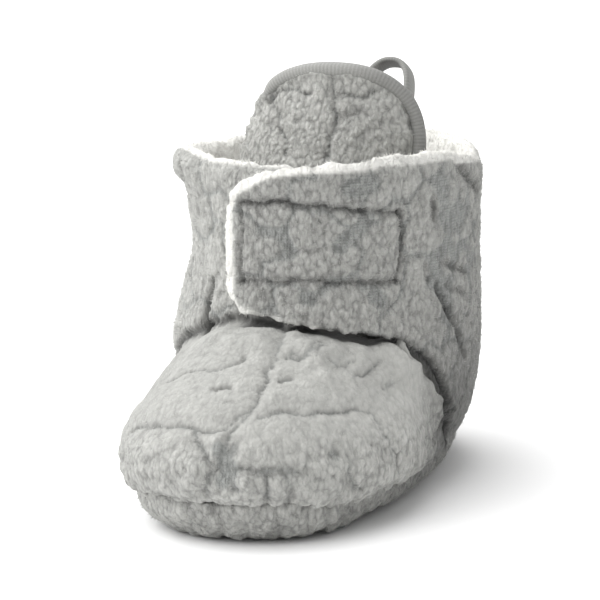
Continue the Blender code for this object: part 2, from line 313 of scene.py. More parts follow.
# carved polyester fleece: short cut pile that scatters light softly, with a paler nap on the
# raised patches and the darker knitted ground showing where the pile is carved away
fleeceLook = {
    "nap": "#B6B6B2", "ground": "#9EA09D", "lining": "#F8F7F2",
    "fibreSize": 0.6, "curlSize": 1.05, "bend": 0.9, "knitPitch": 0.65, "cloudSize": 9.0,  # mm
    "hang": 0.62,  # strands hang down a little, so the grain is longer than it is wide
    # noise from and to, and the tone that it gives
    "fibreTone": (0.32, 0.68, 0.84, 1.14), "tuftPaintedShade": (0.42, 0.82, 1.1, 0.68),
    "cloudTone": (0.3, 0.7, 0.95, 1.04), "calmTone": 0.96,
    "knitDepth": -0.9, "tuftDepth": -0.9, "bump": 0.9, "calmBump": 0.18, "bumpHeight": 1.0,
}


def carvedFleece(name, look):
    material, tree, shader = newMaterial(
        name, Roughness=0.96, Sheen_Weight=0.18, Sheen_Roughness=0.55, Specular_IOR_Level=0.12, IOR=1.5)
    where = addNode(tree, "ShaderNodeTexCoord").outputs["Object"]
    hung = addNode(tree, "ShaderNodeMapping", {"Scale": (1.0, 1.0, look["hang"])},
                   {"Vector": where}).outputs["Vector"]
    pile, lining, shade, calm = [addNode(tree, "ShaderNodeAttribute", attribute_name=note).outputs["Fac"]
                                 for note in ("pile", "lining", "shade", "calm")]
    fibre = addNode(tree, "ShaderNodeTexNoise",
                    {"Scale": 1 / (look["fibreSize"] * mm), "Detail": 4.0, "Roughness": 0.7},
                    {"Vector": hung}).outputs["Fac"]
    # curled tufts, bent so that no two are alike
    stir = addNode(tree, "ShaderNodeTexNoise", {"Scale": 1 / (1.5 * look["curlSize"] * mm), "Detail": 1.0},
                   {"Vector": hung}).outputs["Color"]
    bent = addNode(tree, "ShaderNodeVectorMath", {1: (look["bend"] * mm,) * 3}, {0: stir, 2: hung},
                   operation="MULTIPLY_ADD").outputs[0]
    tuft = addNode(tree, "ShaderNodeTexVoronoi", {"Scale": 1 / (look["curlSize"] * mm)},
                   {"Vector": bent}).outputs["Distance"]
    cloud = addNode(tree, "ShaderNodeTexNoise", {"Scale": 1 / (look["cloudSize"] * mm), "Detail": 2.0},
                    {"Vector": where}).outputs["Fac"]
    knit = addNode(tree, "ShaderNodeTexVoronoi", {"Scale": 1 / (look["knitPitch"] * mm), "Randomness": 0.12},
                   {"Vector": where}).outputs["Distance"]
    body = addNode(tree, "ShaderNodeMix", {"A": linear(look["ground"]), "B": linear(look["nap"])},
                   {"Factor": pile}, data_type="RGBA")
    # the fibre grain and soft clouds give the nap its uneven tone, and the tufts are painted light on top and
    # painted shade at their edges
    grain, between, drift = [
        addNode(tree, "ShaderNodeMapRange", dict(zip(spanSockets, look[span])),
                {"Value": noise}).outputs["Result"]
        for span, noise in (("fibreTone", fibre), ("tuftPaintedShade", tuft), ("cloudTone", cloud))]
    grain = addNode(tree, "ShaderNodeMath", links={0: grain, 1: between}, operation="MULTIPLY").outputs[0]
    tone = addNode(tree, "ShaderNodeMix", {"B": look["calmTone"]},
                   {"A": grain, "Factor": calm}).outputs["Result"]
    # the shade note multiplies in the painted light and shade laid on each point
    for more in (drift, shade):
        tone = addNode(tree, "ShaderNodeMath", links={0: tone, 1: more}, operation="MULTIPLY").outputs[0]
    toned = addNode(tree, "ShaderNodeVectorMath", links={0: colourOf(body), "Scale": tone}, operation="SCALE")
    whole = addNode(tree, "ShaderNodeMix", {"B": linear(look["lining"])},
                    {"A": toned.outputs[0], "Factor": lining}, data_type="RGBA")
    tree.links.new(colourOf(whole), shader.inputs["Base Color"])
    # knitted dots where the pile is carved away, fibre grain all over
    low = addNode(tree, "ShaderNodeMath", {0: 1.0}, {1: pile}, operation="SUBTRACT").outputs[0]
    dots = addNode(tree, "ShaderNodeMath", links={0: knit, 1: low}, operation="MULTIPLY").outputs[0]
    bumps = fibre
    for depth, source in ((look["knitDepth"], dots), (look["tuftDepth"], tuft)):
        bumps = addNode(tree, "ShaderNodeMath", {1: depth}, {0: source, 2: bumps},
                        operation="MULTIPLY_ADD").outputs[0]
    still = addNode(tree, "ShaderNodeMapRange", {"To Min": look["bump"], "To Max": look["calmBump"]},
                    {"Value": calm}).outputs["Result"]
    bump = addNode(tree, "ShaderNodeBump", {"Distance": look["bumpHeight"] * mm},
                   {"Height": bumps, "Strength": still})
    tree.links.new(bump.outputs["Normal"], shader.inputs["Normal"])
    return material


fleece = carvedFleece("carvedFleeceGrey", fleeceLook)


# loose pile fibres: matt polyester staple, a little paler than the body: painted light for the tips that
# catch the light
def stapleFibre(name, colour):
    return newMaterial(name, Base_Color=linear(colour), Roughness=0.9, Sheen_Weight=0.15,
                       Specular_IOR_Level=0.15)[0]


napFibre = stapleFibre("fleeceNapFibre", "#B4B4B0")
paintedLightFibre = stapleFibre("toeNapFibrePaintedLight", "#BFBFBB")
liningFibre = stapleFibre("liningNapFibre", "#F0EFEA")

# the pile: lobes gathered into patches with channels of low pile between them; sizes in mm
carving = {
    "lobe": 5.4, "patch": 14.0, "warp": 2.2, "warpSize": 8.0, "ragged": 0.45, "raggedSize": 1.6,
    "rise": 0.24, "edge": 0.8, "pillow": 0.3, "pillowReach": 3.0, "groove": 0.14, "grooveWidth": 0.5,
    "nub": 0.6, "nubSize": 1.5, "nubPaintedShade": 0.28, "curl": 0.3, "curlSize": 1.0,
    "gap": 1.4, "gapSize": 15.0,  # wider bare gaps here and there
    "bareFrom": 1.1,  # drawn lines with a larger half width are bare, finer ones are pressed in
    "lineWander": 0.8, "lineReach": 12.0, "lineSoft": 0.5, "lineDepth": 0.4, "linePaintedShade": 0.24, "lineFill": 0.3,
    "fray": 0.35, "fraySize": 1.5, "faintSize": 5.5, "trough": 0.45, "troughWidth": 2.2,
    "quietFill": 6.0, "quietNub": 0.8, "quietGroove": 0.5, "quietDim": 0.12,
}


# gaps to the edge of a point's patch and to the edge of its lobe
def patchEdges(places, look, seed):
    warp = softDrift(places, look["warpSize"], seed) * look["warp"]
    ragged = softDrift(places, look["raggedSize"], seed + 3) * look["ragged"]
    moved = places + warp + ragged
    some = moved[::5]
    lobes = scatter(some, look["lobe"], seed)
    centres = scatter(some, look["patch"], seed + 7)
    owner = np.argmin(np.sum((lobes[:, None] - centres[None]) ** 2, axis=2), axis=1)
    own, other, second = np.empty((3, len(moved)))
    for part in np.array_split(np.arange(len(moved)), max(1, len(moved) // 3000)):
        gaps = np.sqrt(np.sum((moved[part][:, None] - lobes[None]) ** 2, axis=2))
        first = np.argmin(gaps, axis=1)
        own[part] = gaps[np.arange(len(part)), first]
        other[part] = np.where(owner[None] == owner[first][:, None], far, gaps).min(axis=1)
        second[part] = np.partition(gaps, 1, axis=1)[:, 1]
    return (other - own) / 2, (second - own) / 2


# height of the pile over the ground, its share of the full pile and the painted shade between nubs, in the
# grooves and along the drawn channels
def carvedPile(places, look, seed, drawn=(), quiet=0.0):
    toOther, toLobe = patchEdges(places, look, seed)
    wide = look["gap"] * ease(0.35, 0.75, softNoise(places, look["gapSize"], seed + 20))
    edge = np.maximum(toOther - wide, 0.0) + quiet * look["quietFill"]
    fray = look["fray"] * softNoise(places, look["fraySize"], seed + 25)
    faint = 0.35 + 0.65 * ease(-0.45, 0.25, softNoise(places, look["faintSize"], seed + 29))
    cut = np.zeros(len(places))
    trough = np.zeros(len(places))
    for line in drawn:
        laid = laidOn(places, line["points"], look["lineWander"], seed + 26)
        gap = farFrom(places, laid, look["lineReach"]) - line["half"]
        bare = np.maximum(gap + fray, 0.0)
        if line["half"] > look["bareFrom"]:
            edge = np.minimum(edge, bare)
            continue
        gap = np.maximum(gap, 0.0)
        edge = np.minimum(edge, bare + look["lineFill"])
        trough = np.maximum(trough, np.exp(-(gap / look["troughWidth"]) ** 2))
        cut = np.maximum(cut, faint * np.exp(-(gap / look["lineSoft"]) ** 2))
    share = ease(0.0, look["edge"], edge)
    pillow = look["pillow"] * (1.0 - np.exp(-edge / look["pillowReach"]))
    groove = look["groove"] * np.exp(-(toLobe / look["grooveWidth"]) ** 2)
    groove = groove * share * (1.0 - look["quietGroove"] * quiet)
    nubs = np.clip(nubGap(places, look["nubSize"], seed + 30), 0.0, 1.0) ** 2
    curl = look["curl"] * softNoise(places, look["curlSize"], seed + 31)
    tall = look["nub"] * (1.0 - look["quietNub"] * quiet) * (0.35 + 0.65 * share)
    height = (look["rise"] + pillow) * share - groove + tall * (0.5 - nubs + curl)
    height = height - look["lineDepth"] * cut - look["trough"] * trough
    # painted shade: darker between the nubs, in the grooves between lobes and along the drawn channels
    shade = 1.0 - (look["nubPaintedShade"] - look["quietDim"] * quiet) * nubs - 0.8 * groove
    return height, share, shade * (1.0 - look["linePaintedShade"] * cut)


# a line of low pile and its half width in mm
def channel(half, *points):
    return {"half": half, "points": points}


# a soft trough or ridge, with its width and depth in mm
def fold(width, depth, *points):
    return {"width": width, "depth": depth, "points": points}


foldLook = {"wander": 0.3, "uneven": 0.45, "unevenSize": 3.0, "seed": 90}


# depth of the folds that are laid along lines on the slipper
def foldDepth(places, folds, look=foldLook):
    depth = np.zeros(len(places))
    for line in folds:
        laid = laidOn(places, line["points"], look["wander"], look["seed"] + 1)
        gap = farFrom(places, laid, line["width"] * 4)
        depth += line["depth"] * np.exp(-(gap / line["width"]) ** 2)
    return depth * (1.0 + look["uneven"] * softNoise(places, look["unevenSize"], look["seed"]))


napLook = {"width": 0.1, "sunk": 0.15, "tuft": 1.2, "uneven": (0.6, 1.25), "stray": 0.35, "gather": 1.5}


# thin closed spikes rooted in a skin, all in one mesh
def growPile(name, piece, count, chance, length, lean, material, seed, look=napLook):
    rng = np.random.default_rng(seed)
    mesh = piece.data
    mesh.calc_loop_triangles()
    corners = np.empty(len(mesh.loop_triangles) * 3, np.int32)
    mesh.loop_triangles.foreach_get("vertices", corners)
    corners = corners.reshape(-1, 3)
    places = placesOf(piece)
    normals = normalsOf(piece)
    first, second, third = [places[corners[:, k]] for k in range(3)]
    areas = np.linalg.norm(np.cross(second - first, third - first), axis=1)
    odds = areas * np.clip(chance[corners].mean(axis=1), 0.0, None)
    chosen = corners[rng.choice(len(corners), count, p=odds / odds.sum())]
    share = rng.random((count, 2))
    share = np.where(share.sum(axis=1, keepdims=True) > 1.0, 1.0 - share, share)
    weights = np.stack([1.0 - share.sum(axis=1), share[:, 0], share[:, 1]], axis=1)[:, :, None]
    root = (places[chosen] * weights).sum(axis=1)
    normal = unit((normals[chosen] * weights).sum(axis=1))
    grown = (length[chosen] * weights[:, :, 0]).sum(axis=1) * rng.uniform(*look["uneven"], count)
    # neighbours lean together into small tufts
    flow = softDrift(root, look["tuft"], seed)
    heading = unit(normal + lean * (rng.normal(size=(count, 3)) * look["stray"] + flow * look["gather"]))
    side = unit(np.cross(heading, rng.normal(size=(count, 3))))
    cross = np.cross(heading, side)
    root = root - normal * look["sunk"]
    thirds = np.radians((0.0, 120.0, 240.0))
    points = [root + look["width"] * (math.cos(a) * side + math.sin(a) * cross) for a in thirds]
    points.append(root + heading * (grown[:, None] + look["sunk"]))
    faces = np.array([(0, 1, 3), (1, 2, 3), (2, 0, 3), (2, 1, 0)])
    faces = (faces[None] + 4 * np.arange(count)[:, None, None]).reshape(-1, 3)
    pile = newPiece(name, np.stack(points, axis=1).reshape(-1, 3), faces)
    wear(pile, material)
    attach(pile, "root")
    return pile


# camera and light
view = {"turn": 18.5, "away": 720.0, "height": 190.0, "aim": (-1.6, -0.5, 41.5), "lens": 198.0}


def setView(look):
    turn = math.radians(look["turn"])
    place = Vector((look["away"] * math.sin(turn), -look["away"] * math.cos(turn), look["height"])) * mm
    bpy.ops.object.camera_add(location=place)
    camera = bpy.context.object
    camera.rotation_euler = (Vector(look["aim"]) * mm - place).to_track_quat("-Z", "Y").to_euler()
    camera.data.lens = look["lens"]
    camera.data.sensor_width = 36.0
    camera.data.clip_start = 0.01
    camera.data.clip_end = 50.0
    bpy.context.scene.camera = camera


light = {
    "sky": (0.4, 0.84), "brightSide": (-0.8, 0.35, 0.5),  # dim to bright
    "sun": 4.1, "sunFrom": (-0.58, -0.14, 0.8), "spread": 100.0,
    "floor": 12.0, "floorGrain": 0.6, "floorBump": 0.02, "floorBumpHeight": 0.05,  # metres, mm, share, mm
}


def setLight(look):
    world = bpy.data.worlds.new("studio")
    bpy.context.scene.world = world
    world.use_nodes = True
    tree = world.node_tree
    background = tree.nodes["Background"]
    background.inputs["Color"].default_value = (1.0, 1.0, 1.0, 1.0)
    where = addNode(tree, "ShaderNodeTexCoord").outputs["Generated"]
    side = addNode(tree, "ShaderNodeVectorMath", {1: look["brightSide"]}, {0: where}, operation="DOT_PRODUCT")
    glow = addNode(tree, "ShaderNodeMapRange", dict(zip(spanSockets, (-1.0, 1.0) + look["sky"])),
                   {"Value": side.outputs["Value"]})
    tree.links.new(glow.outputs["Result"], background.inputs["Strength"])
    bpy.ops.object.light_add(type="SUN", location=(0, 0, 2))
    sun = bpy.context.object
    sun.rotation_euler = Vector(look["sunFrom"]).to_track_quat("Z", "Y").to_euler()
    sun.data.energy = look["sun"]
    sun.data.angle = math.radians(look["spread"])
    bpy.ops.mesh.primitive_plane_add(size=look["floor"])
    floor = bpy.context.object
    floor.name = "studioFloor"
    # painted board: a flat matt white with a faint orange-peel
    paint, tree, shader = newMaterial("paintedBoardWhite", Base_Color=linear("#F8F8F8"), Roughness=0.9)
    where = addNode(tree, "ShaderNodeTexCoord").outputs["Object"]
    speck = addNode(tree, "ShaderNodeTexNoise", {"Scale": 1 / (look["floorGrain"] * mm)}, {"Vector": where})
    bump = addNode(tree, "ShaderNodeBump",
                   {"Strength": look["floorBump"], "Distance": look["floorBumpHeight"] * mm},
                   {"Height": speck.outputs["Fac"]})
    tree.links.new(bump.outputs["Normal"], shader.inputs["Normal"])
    floor.data.materials.append(paint)
    bpy.context.scene.view_settings.view_transform = "Standard"


setView(view)
setLight(light)
print("view and light set")


# upper: quarter, vamp and strap in one padded fleece skin
upperLook = {
    "voxel": 1.25, "smooth": 5, "keepInside": 0.16,  # mm, times, share of faces
    # mm
    "strapLoose": 1.0, "strapUp": 0.4, "strapTop": 1.3, "strapCorner": 5.5, "strapLift": 3.9,
    "faceAt": 34.6, "strapFace": (34.3, 35.2),  # radius of the quarter's face, and where the strap's begins
    "collarRim": 1.4, "strapRim": 0.5, "whiteEdge": 1.4, "lowWhiteEdge": 0.4,
    "rimFray": 0.35, "crownFray": 0.4, "edgeFray": 0.3,
    "sink": 0.3, "roll": 0.9, "fluff": 0.45, "fineFluff": 0.25, "seamOut": 1.4, "seamDown": 1.7,
    "heelSag": 3.0, "leftSag": 1.6, "rightSag": 1.3, "rightLift": 0.9,
    "clumpSize": 3.0, "clump": 1.05, "lapDepth": 1.6,
    # shares of painted light and shade, of white and of the pile's stir
    "vampPaintedShade": 0.12, "vampPaintedAcross": 0.006, "toePaintedLight": 0.19, "strapPaintedShade": 0.13, "sidePaintedShade": 0.12,
    "lowPaintedShade": 0.52, "underPaintedShade": 0.82, "lapPaintedShade": 0.5, "foldPaintedShade": 0.6, "clumpPaintedShade": 0.22,
    "rimWhite": 0.9, "crownWhite": 0.6, "strapEven": 0.92,
    "quiet": 0.85, "toeStir": 0.8, "vampCalm": 0.74, "leftCalm": 0.45, "rightCalm": 0.3,
    # number of fibres, their length in mm and how far they lean
    "frontFibres": 5000, "shaftFibres": 24000, "liningFibres": 15000,
    "fibre": 0.7, "liningFibre": 0.8, "lean": 1.2,
}
# lower edge of the quarter and strap: turn round the foot in degrees (0 at the toe), height in mm
wingEdge = [
    (-180, 8.5), (-88, 8.5), (-78, 16.5), (-68, 25.0), (-56, 31.0), (-40, 36.0), (-20, 40.5), (-17, 43.4),
    (8, 41.4), (20, 40.0), (40, 37.0), (56, 32.0), (68, 25.0), (78, 16.5), (88, 8.5), (180, 8.5),
]
# channels of low pile over the toes, and bare spots on the toe and strap
drawnChannels = [
    channel(0.1, (3.0, -22.2, 39.5), (5.2, -37.6, 36.6), (5.7, -49.1, 32.2), (5.7, -54.0, 29.3),
            (3.0, -58.4, 26.1), (1.5, -62.3, 19.7), (-2.0, -59.8, 13.2)),
    channel(0.05, (-24.0, -48.8, 21.7), (-15.1, -55.9, 24.9), (-6.2, -58.8, 25.9), (0.3, -58.9, 26.0),
            (3.4, -55.8, 28.3), (5.6, -53.6, 29.6)),
    channel(0.05, (7.6, -54.3, 28.3), (12.2, -50.4, 29.0), (16.4, -47.6, 27.8), (21.7, -40.6, 27.5),
            (25.9, -33.3, 26.5), (28.6, -32.4, 22.0), (30.3, -30.9, 17.7), (30.8, -29.9, 14.2)),
    channel(0.05, (-20.5, -38.8, 31.0), (-17.8, -41.9, 31.8), (-15.3, -42.5, 33.0), (-12.5, -42.1, 34.1),
            (-7.7, -43.2, 34.9), (-3.7, -42.1, 35.7), (-1.4, -37.7, 37.3)),
    channel(0.2, (8.7, -44.1, 33.8), (11.0, -41.9, 33.9)),
    channel(0.2, (26.2, -24.7, 29.6), (27.3, -21.1, 29.3)),
    channel(1.0, (22.3, -47.6, 19.4), (22.4, -47.4, 19.2)),
    channel(0.1, (7.4, -36.5, 36.6), (9.8, -35.8, 36.2), (11.1, -32.0, 36.7), (11.7, -27.1, 37.4)),
    channel(0.6, (4.1, -60.2, 23.4), (3.9, -62.0, 18.6), (5.0, -60.3, 14.3)),
    channel(0.1, (10.8, -59.2, 18.2), (11.3, -59.3, 14.2), (10.2, -57.4, 10.1)),
    channel(0.1, (-0.4, -62.3, 17.5), (-0.7, -62.5, 14.0), (-1.6, -60.6, 11.0)),
    channel(0.1, (15.5, -57.1, 16.7), (15.2, -55.7, 12.7), (14.2, -54.5, 9.9)),
    channel(0.3, (3.8, -60.8, 18.6), (8.2, -60.2, 18.3), (13.2, -58.4, 17.6), (16.8, -55.5, 16.8)),
    channel(0.1, (-4.7, -58.6, 24.5), (-3.5, -60.8, 22.4), (-0.4, -62.2, 19.2)),
    channel(0.1, (7.6, -35.1, 36.9), (11.5, -33.9, 36.5), (13.4, -29.6, 38.2)),
    channel(0.05, (15.7, -32.2, 36.7), (17.9, -31.8, 35.1), (19.4, -27.6, 35.2)),
    channel(0.05, (21.2, -30.3, 32.9), (22.4, -26.0, 33.0), (23.5, -21.0, 33.9)),
    channel(0.05, (23.6, -44.9, 19.4), (24.8, -44.1, 14.3), (25.7, -39.8, 9.5)),
    channel(1.25, (1.6, -60.8, 22.0), (3.2, -61.8, 18.2), (2.4, -61.6, 15.6)),
    channel(1.9, (17.5, -22.6, 71.0), (18.9, -21.4, 71.3), (20.5, -19.3, 71.6)),
    channel(1.3, (15.6, -23.0, 58.6), (18.4, -21.0, 62.1), (20.7, -19.2, 64.3)),
    channel(1.4, (21.4, -18.2, 47.4), (22.4, -17.2, 46.2)),
    channel(1.2, (8.2, -26.1, 48.2), (9.6, -25.3, 47.4)),
]
# sewn box on the strap
stitchBox = [
    fold(0.65, -1.5, (-6.3, -26.6, 67.4), (3.8, -26.9, 68.0), (14.0, -24.4, 66.9), (25.5, -12.3, 64.8)),
    fold(0.65, -1.4, (25.5, -12.3, 64.8), (25.8, -11.6, 58.0), (24.9, -13.1, 50.1)),
    fold(0.65, -1.5, (-6.7, -26.1, 50.4), (6.7, -26.3, 50.9), (18.0, -21.6, 50.8), (24.9, -13.1, 50.1)),
    fold(0.5, -0.9, (-6.4, -26.5, 67.2), (-6.2, -26.2, 58.5), (-6.4, -26.2, 50.5)),
]
# creases of the vamp and quarter
creases = [
    fold(0.55, -1.2, (-3.7, -49.9, 31.3), (-2.0, -49.4, 31.6), (-0.5, -49.1, 31.8)),
    fold(1.0, -1.6, (30.6, -3.9, 66.3), (30.8, -3.2, 64.5), (30.8, -3.1, 62.7)),
    fold(0.9, -1.3, (32.1, 0.1, 52.0), (33.1, 4.1, 50.4), (33.8, 11.2, 48.3)),
    fold(0.8, -1.6, (31.1, -2.6, 47.3), (31.9, -0.9, 44.0), (32.9, 1.9, 40.1), (33.7, 6.8, 34.4),
         (33.8, 9.7, 29.5)),
    fold(0.8, -1.0, (32.3, 0.7, 46.7), (33.9, 9.4, 43.4)),
    fold(0.8, -1.0, (29.0, -6.2, 52.9), (29.9, -4.8, 48.5)),
    fold(1.6, -1.6, (33.4, 4.7, 73.6), (34.1, 10.4, 70.6), (33.3, 21.2, 65.8)),
    fold(1.2, -1.2, (33.7, 14.9, 59.8), (33.6, 17.0, 56.4)),
    fold(0.75, -1.8, (-16.5, -17.0, 48.3), (-16.8, -17.2, 44.9), (-18.3, -17.0, 40.0),
         (-18.4, -19.0, 36.1)),
    fold(0.9, -1.5, (-25.0, -9.3, 72.1), (-25.1, -10.2, 70.4), (-26.0, -8.5, 68.1)),
]
# where the quarter's edge laps over the vamp, right and left
lapLines = [
    fold(1.3, -2.2, (24.0, -13.6, 36.1), (27.1, -10.3, 33.5), (29.6, -6.5, 30.1), (31.3, -2.5, 25.0),
         (32.0, 0.8, 20.0), (32.0, 4.5, 14.6), (30.4, 8.9, 9.1)),
    fold(0.9, -1.6, (-7.1, -21.9, 41.1), (-11.4, -20.6, 40.5), (-16.6, -18.4, 38.7), (-21.5, -15.2, 36.0),
         (-25.7, -11.2, 33.1), (-28.9, -6.5, 29.3), (-30.8, -2.5, 25.0), (-31.8, 2.0, 18.2),
         (-30.8, 7.4, 10.5)),
]
# broad swells and hollows that the stuffing gives: the waist, the left side's bulge, the quarter's
# lapping edge, the vamp under the strap, the collar's roll, and lumps of pile over the toes
swells = [
    fold(7.0, -1.4, (-29.0, 0.0, 56.0), (-30.5, 12.0, 56.0), (-29.5, 26.0, 56.0)),
    fold(5.5, 0.4, (-25.5, -10.5, 38.0), (-31.0, -1.0, 33.0)),
    fold(3.5, 0.9, (26.0, -12.5, 39.5), (29.4, -8.5, 36.0), (31.6, -4.0, 31.5), (33.0, 0.0, 26.0),
         (33.2, 4.0, 19.0)),
    fold(5.0, 2.1, (-14.0, -27.0, 36.0), (-7.0, -30.0, 38.0), (2.0, -30.5, 38.4), (11.0, -28.5, 37.2),
         (18.5, -24.0, 34.6), (24.0, -17.5, 31.8)),
    fold(2.4, 2.2, (20.5, -6.9, 33.9), (21.4, -10.0, 34.2), (23.0, -9.1, 33.6), (24.0, -9.3, 33.8)),
    fold(3.6, 1.1, (-23.5, -11.6, 71.8), (-27.4, -6.6, 71.2), (-30.0, 0.0, 70.8), (-31.5, 8.0, 70.5),
         (-31.5, 18.0, 70.0)),
    fold(2.2, -0.9, (-27.0, -7.4, 65.8), (-29.5, -1.0, 65.6), (-31.0, 8.0, 65.6), (-31.0, 18.0, 65.0)),
    fold(1.7, 0.9, (12.4, -34.6, 35.4), (13.4, -34.0, 35.2)),
    fold(1.6, 0.8, (16.6, -31.8, 34.2), (17.6, -31.0, 33.9)),
    fold(1.8, 0.9, (16.2, -36.6, 32.8), (17.0, -36.0, 32.6)),
    fold(1.6, 0.8, (20.4, -31.6, 31.8), (21.0, -30.8, 31.6)),
    fold(2.6, 1.0, (9.6, -32.4, 37.6), (11.4, -31.0, 37.8)),
    fold(2.8, 1.2, (-3.9, -62.6, 17.3), (-3.0, -62.6, 17.3)),
    fold(2.4, 1.1, (6.7, -61.4, 15.0), (7.6, -61.0, 15.0)),
    fold(2.2, 1.0, (13.0, -58.2, 14.0), (13.4, -57.8, 14.0)),
    fold(1.5, 0.7, (1.0, -59.4, 24.0), (0.6, -61.0, 21.6)),
]
# on the vamp alone: its fuller right shoulder and the hollow of its left one
vampSwells = [
    fold(4.5, 2.6, (24.8, -13.6, 32.0), (26.1, -10.3, 30.5), (27.2, -7.1, 28.1), (28.4, -4.0, 25.8),
         (29.6, -1.0, 21.1)),
    fold(6.5, -2.0, (-19.5, -26.0, 35.0), (-21.5, -29.5, 33.0), (-22.5, -33.5, 31.0), (-22.8, -36.5, 30.0)),
    fold(5.0, -2.4, (-24.0, -23.0, 31.0), (-25.8, -25.5, 28.5), (-26.2, -28.0, 26.5)),
]


# above zero on the outside: away from the ankle's axis high up, from the foot's middle line low down
def outwardShare(places, normals):
    footLine = np.array([(0.0, -25.0, 12.0), (0.0, heelY, 14.0), (0.0, ankleY, 75.0)])
    ankleFrom = 39.8
    best = np.full(len(places), far)
    nearest = np.zeros_like(places)
    for a, b in zip(footLine, footLine[1:]):
        t = np.clip(((places - a) @ (b - a)) / ((b - a) @ (b - a)), 0.0, 1.0)
        spot = a + t[:, None] * (b - a)
        gap = np.linalg.norm(places - spot, axis=1)
        nearest = np.where((gap < best)[:, None], spot, nearest)
        best = np.minimum(gap, best)
    axis = places * (0.0, 0.0, 1.0) + (0.0, ankleY, 0.0)
    nearest = np.where((places[:, 2] > ankleFrom)[:, None], axis, nearest)
    return np.sum(normals * unit(places - nearest), axis=1)


# above zero where a skin faces away from the ankle's axis
def facingOut(places, normals):
    return np.sum(normals * unit(places * (1.0, 1.0, 0.0) - (0.0, ankleY, 0.0)), axis=1)


# flat direction away from the foot's middle line
def awayFromFoot(places):
    middle = places * (0.0, 1.0, 1.0)
    middle[:, 1] = np.clip(middle[:, 1], ballY, heelY)
    return unit(places - middle)


# gap from each point to the faces of a mesh that face out
def gapToOutside(piece, places):
    mesh = piece.data
    centres = np.array([p.center for p in mesh.polygons]) / mm
    normals = np.array([p.normal for p in mesh.polygons])
    wanted = outwardShare(centres, normals) > 0.2
    corners = [tuple(p.vertices) for p, w in zip(mesh.polygons, wanted) if w]
    tree = BVHTree.FromPolygons([v.co / mm for v in mesh.vertices], corners)
    return np.array([tree.find_nearest(Vector(p))[3] for p in places])


# the inner side of a wall, away from its edges
def innerSide(plain, places, normals):
    return (outwardShare(places, normals) < -0.3) & (gapToOutside(plain, places) > 2.4)


def softened(piece, look):
    finishWith(piece, "REMESH", mode="VOXEL", voxel_size=look["voxel"] * mm)
    finishWith(piece, "SMOOTH", factor=0.5, iterations=look["smooth"])


# rounds a copied CAD wall into a soft skin and thins the side that isn't seen
def softSkin(piece, look, hiddenSide):
    softened(piece, look)
    hidden = hiddenSide(placesOf(piece), normalsOf(piece))
    group = piece.vertex_groups.new(name="hidden")
    group.add([int(i) for i in np.flatnonzero(hidden)], 1.0, "REPLACE")
    keep = 1.0 - float(np.mean(hidden)) * (1.0 - look["keepInside"])
    finishWith(piece, "DECIMATE", ratio=keep, vertex_group="hidden")
    finishWith(piece, "SUBSURF", levels=1, render_levels=1)
    piece.vertex_groups.clear()


def turnOf(places):
    return np.degrees(np.arctan2(places[:, 0], heelY - places[:, 1]))


def radiusOf(places):
    return np.hypot(places[:, 0], places[:, 1] - heelY)


def lowEdgeAt(turn):
    return alongRows(wingEdge, 1, turn)


# the outer rim of the strap: its free end with the top edge, then its lower edge
def strapEdges(places, turn):
    radius = radiusOf(places)
    columns = np.unique(np.round(turn, 1))
    high, low = [], []
    for column in columns:
        near = np.flatnonzero(np.abs(turn - column) < 2.2)
        outer = near[radius[near] > radius[near].max() - 1.6]
        high.append(places[outer[np.argmax(places[outer, 2])]])
        low.append(places[outer[np.argmin(places[outer, 2])]])
    short = [p for p, at in zip(low, columns) if at < 30.0]
    corner = [p for p, at in zip(low, columns) if at < columns[0] + 8.0]
    return np.array(corner[::-1] + high), np.array(short)


def makeUpper(look):
    base = copyOf("upper", "upperFleece")
    strap = copyOf("strap", "strapCopy")
    editAll(strap, bpy.ops.mesh.subdivide, number_cuts=3)
    places = placesOf(strap)
    high = places[:, 2]
    turn = turnOf(places)
    out = unit(np.stack([places[:, 0], places[:, 1] - heelY, 0.0 * turn], axis=1))
    # the loose end stands off a little, and the root runs into the quarter
    moved = places + out * (look["strapLoose"] * ease(46.0, 20.0, turn))[:, None]
    moved[:, 2] += look["strapUp"] * ease(6.0, 1.0, high - lowEdgeAt(turn)) * ease(50.0, 42.0, turn)
    moved[:, 2] += look["strapTop"] * ease(66.0, 71.0, high) * ease(-9.0, 2.0, turn) * ease(54.0, 36.0, turn)
    # the free end's lower corner is cut round
    size = look["strapCorner"]
    fromEnd = np.clip(np.radians(turn - turn.min()) * radiusOf(places), 0.0, size)
    fromLow = np.clip(high - lowEdgeAt(np.maximum(turn, -16.0)), 0.0, size)
    moved[:, 2] += 0.9 * (size - np.sqrt(size ** 2 - (size - fromEnd) ** 2)) * (1.0 - fromLow / size)
    putPlaces(strap, moved)
    edges = strapEdges(moved, turn)
    pickOnly(base, strap)
    bpy.ops.object.join()
    plain = twinOf(base)
    softSkin(base, look, lambda at, facing: innerSide(plain, at, facing))
    return base, plain, edges


# what the upper's skin is at each of its points; here and below a turn is in degrees, and a height,
# gap or radius in mm
def readUpper(upper, plain, look):
    skin = SimpleNamespace(places=placesOf(upper), normals=normalsOf(upper))
    skin.x = skin.places[:, 0]
    skin.z = skin.places[:, 2]
    skin.gapOut = gapToOutside(plain, skin.places)
    skin.outside = 1.0 - ease(0.4, 1.6, skin.gapOut)
    skin.facing = facingOut(skin.places, skin.normals)
    skin.turn = turnOf(skin.places)
    skin.radius = radiusOf(skin.places)
    skin.front = ease(140.0, 95.0, np.abs(skin.turn))
    skin.aboveEdge = skin.z - lowEdgeAt(skin.turn)
    skin.vamp = ease(0.5, -1.5, skin.aboveEdge)
    skin.toe = ease(27.0, 16.0, skin.z) * skin.vamp
    skin.strapFace = ease(*look["strapFace"], skin.radius)
    skin.onStrap = ((skin.turn > -22.0) & (skin.turn < 50.0)) * skin.strapFace * (1.0 - skin.vamp)
    return skin


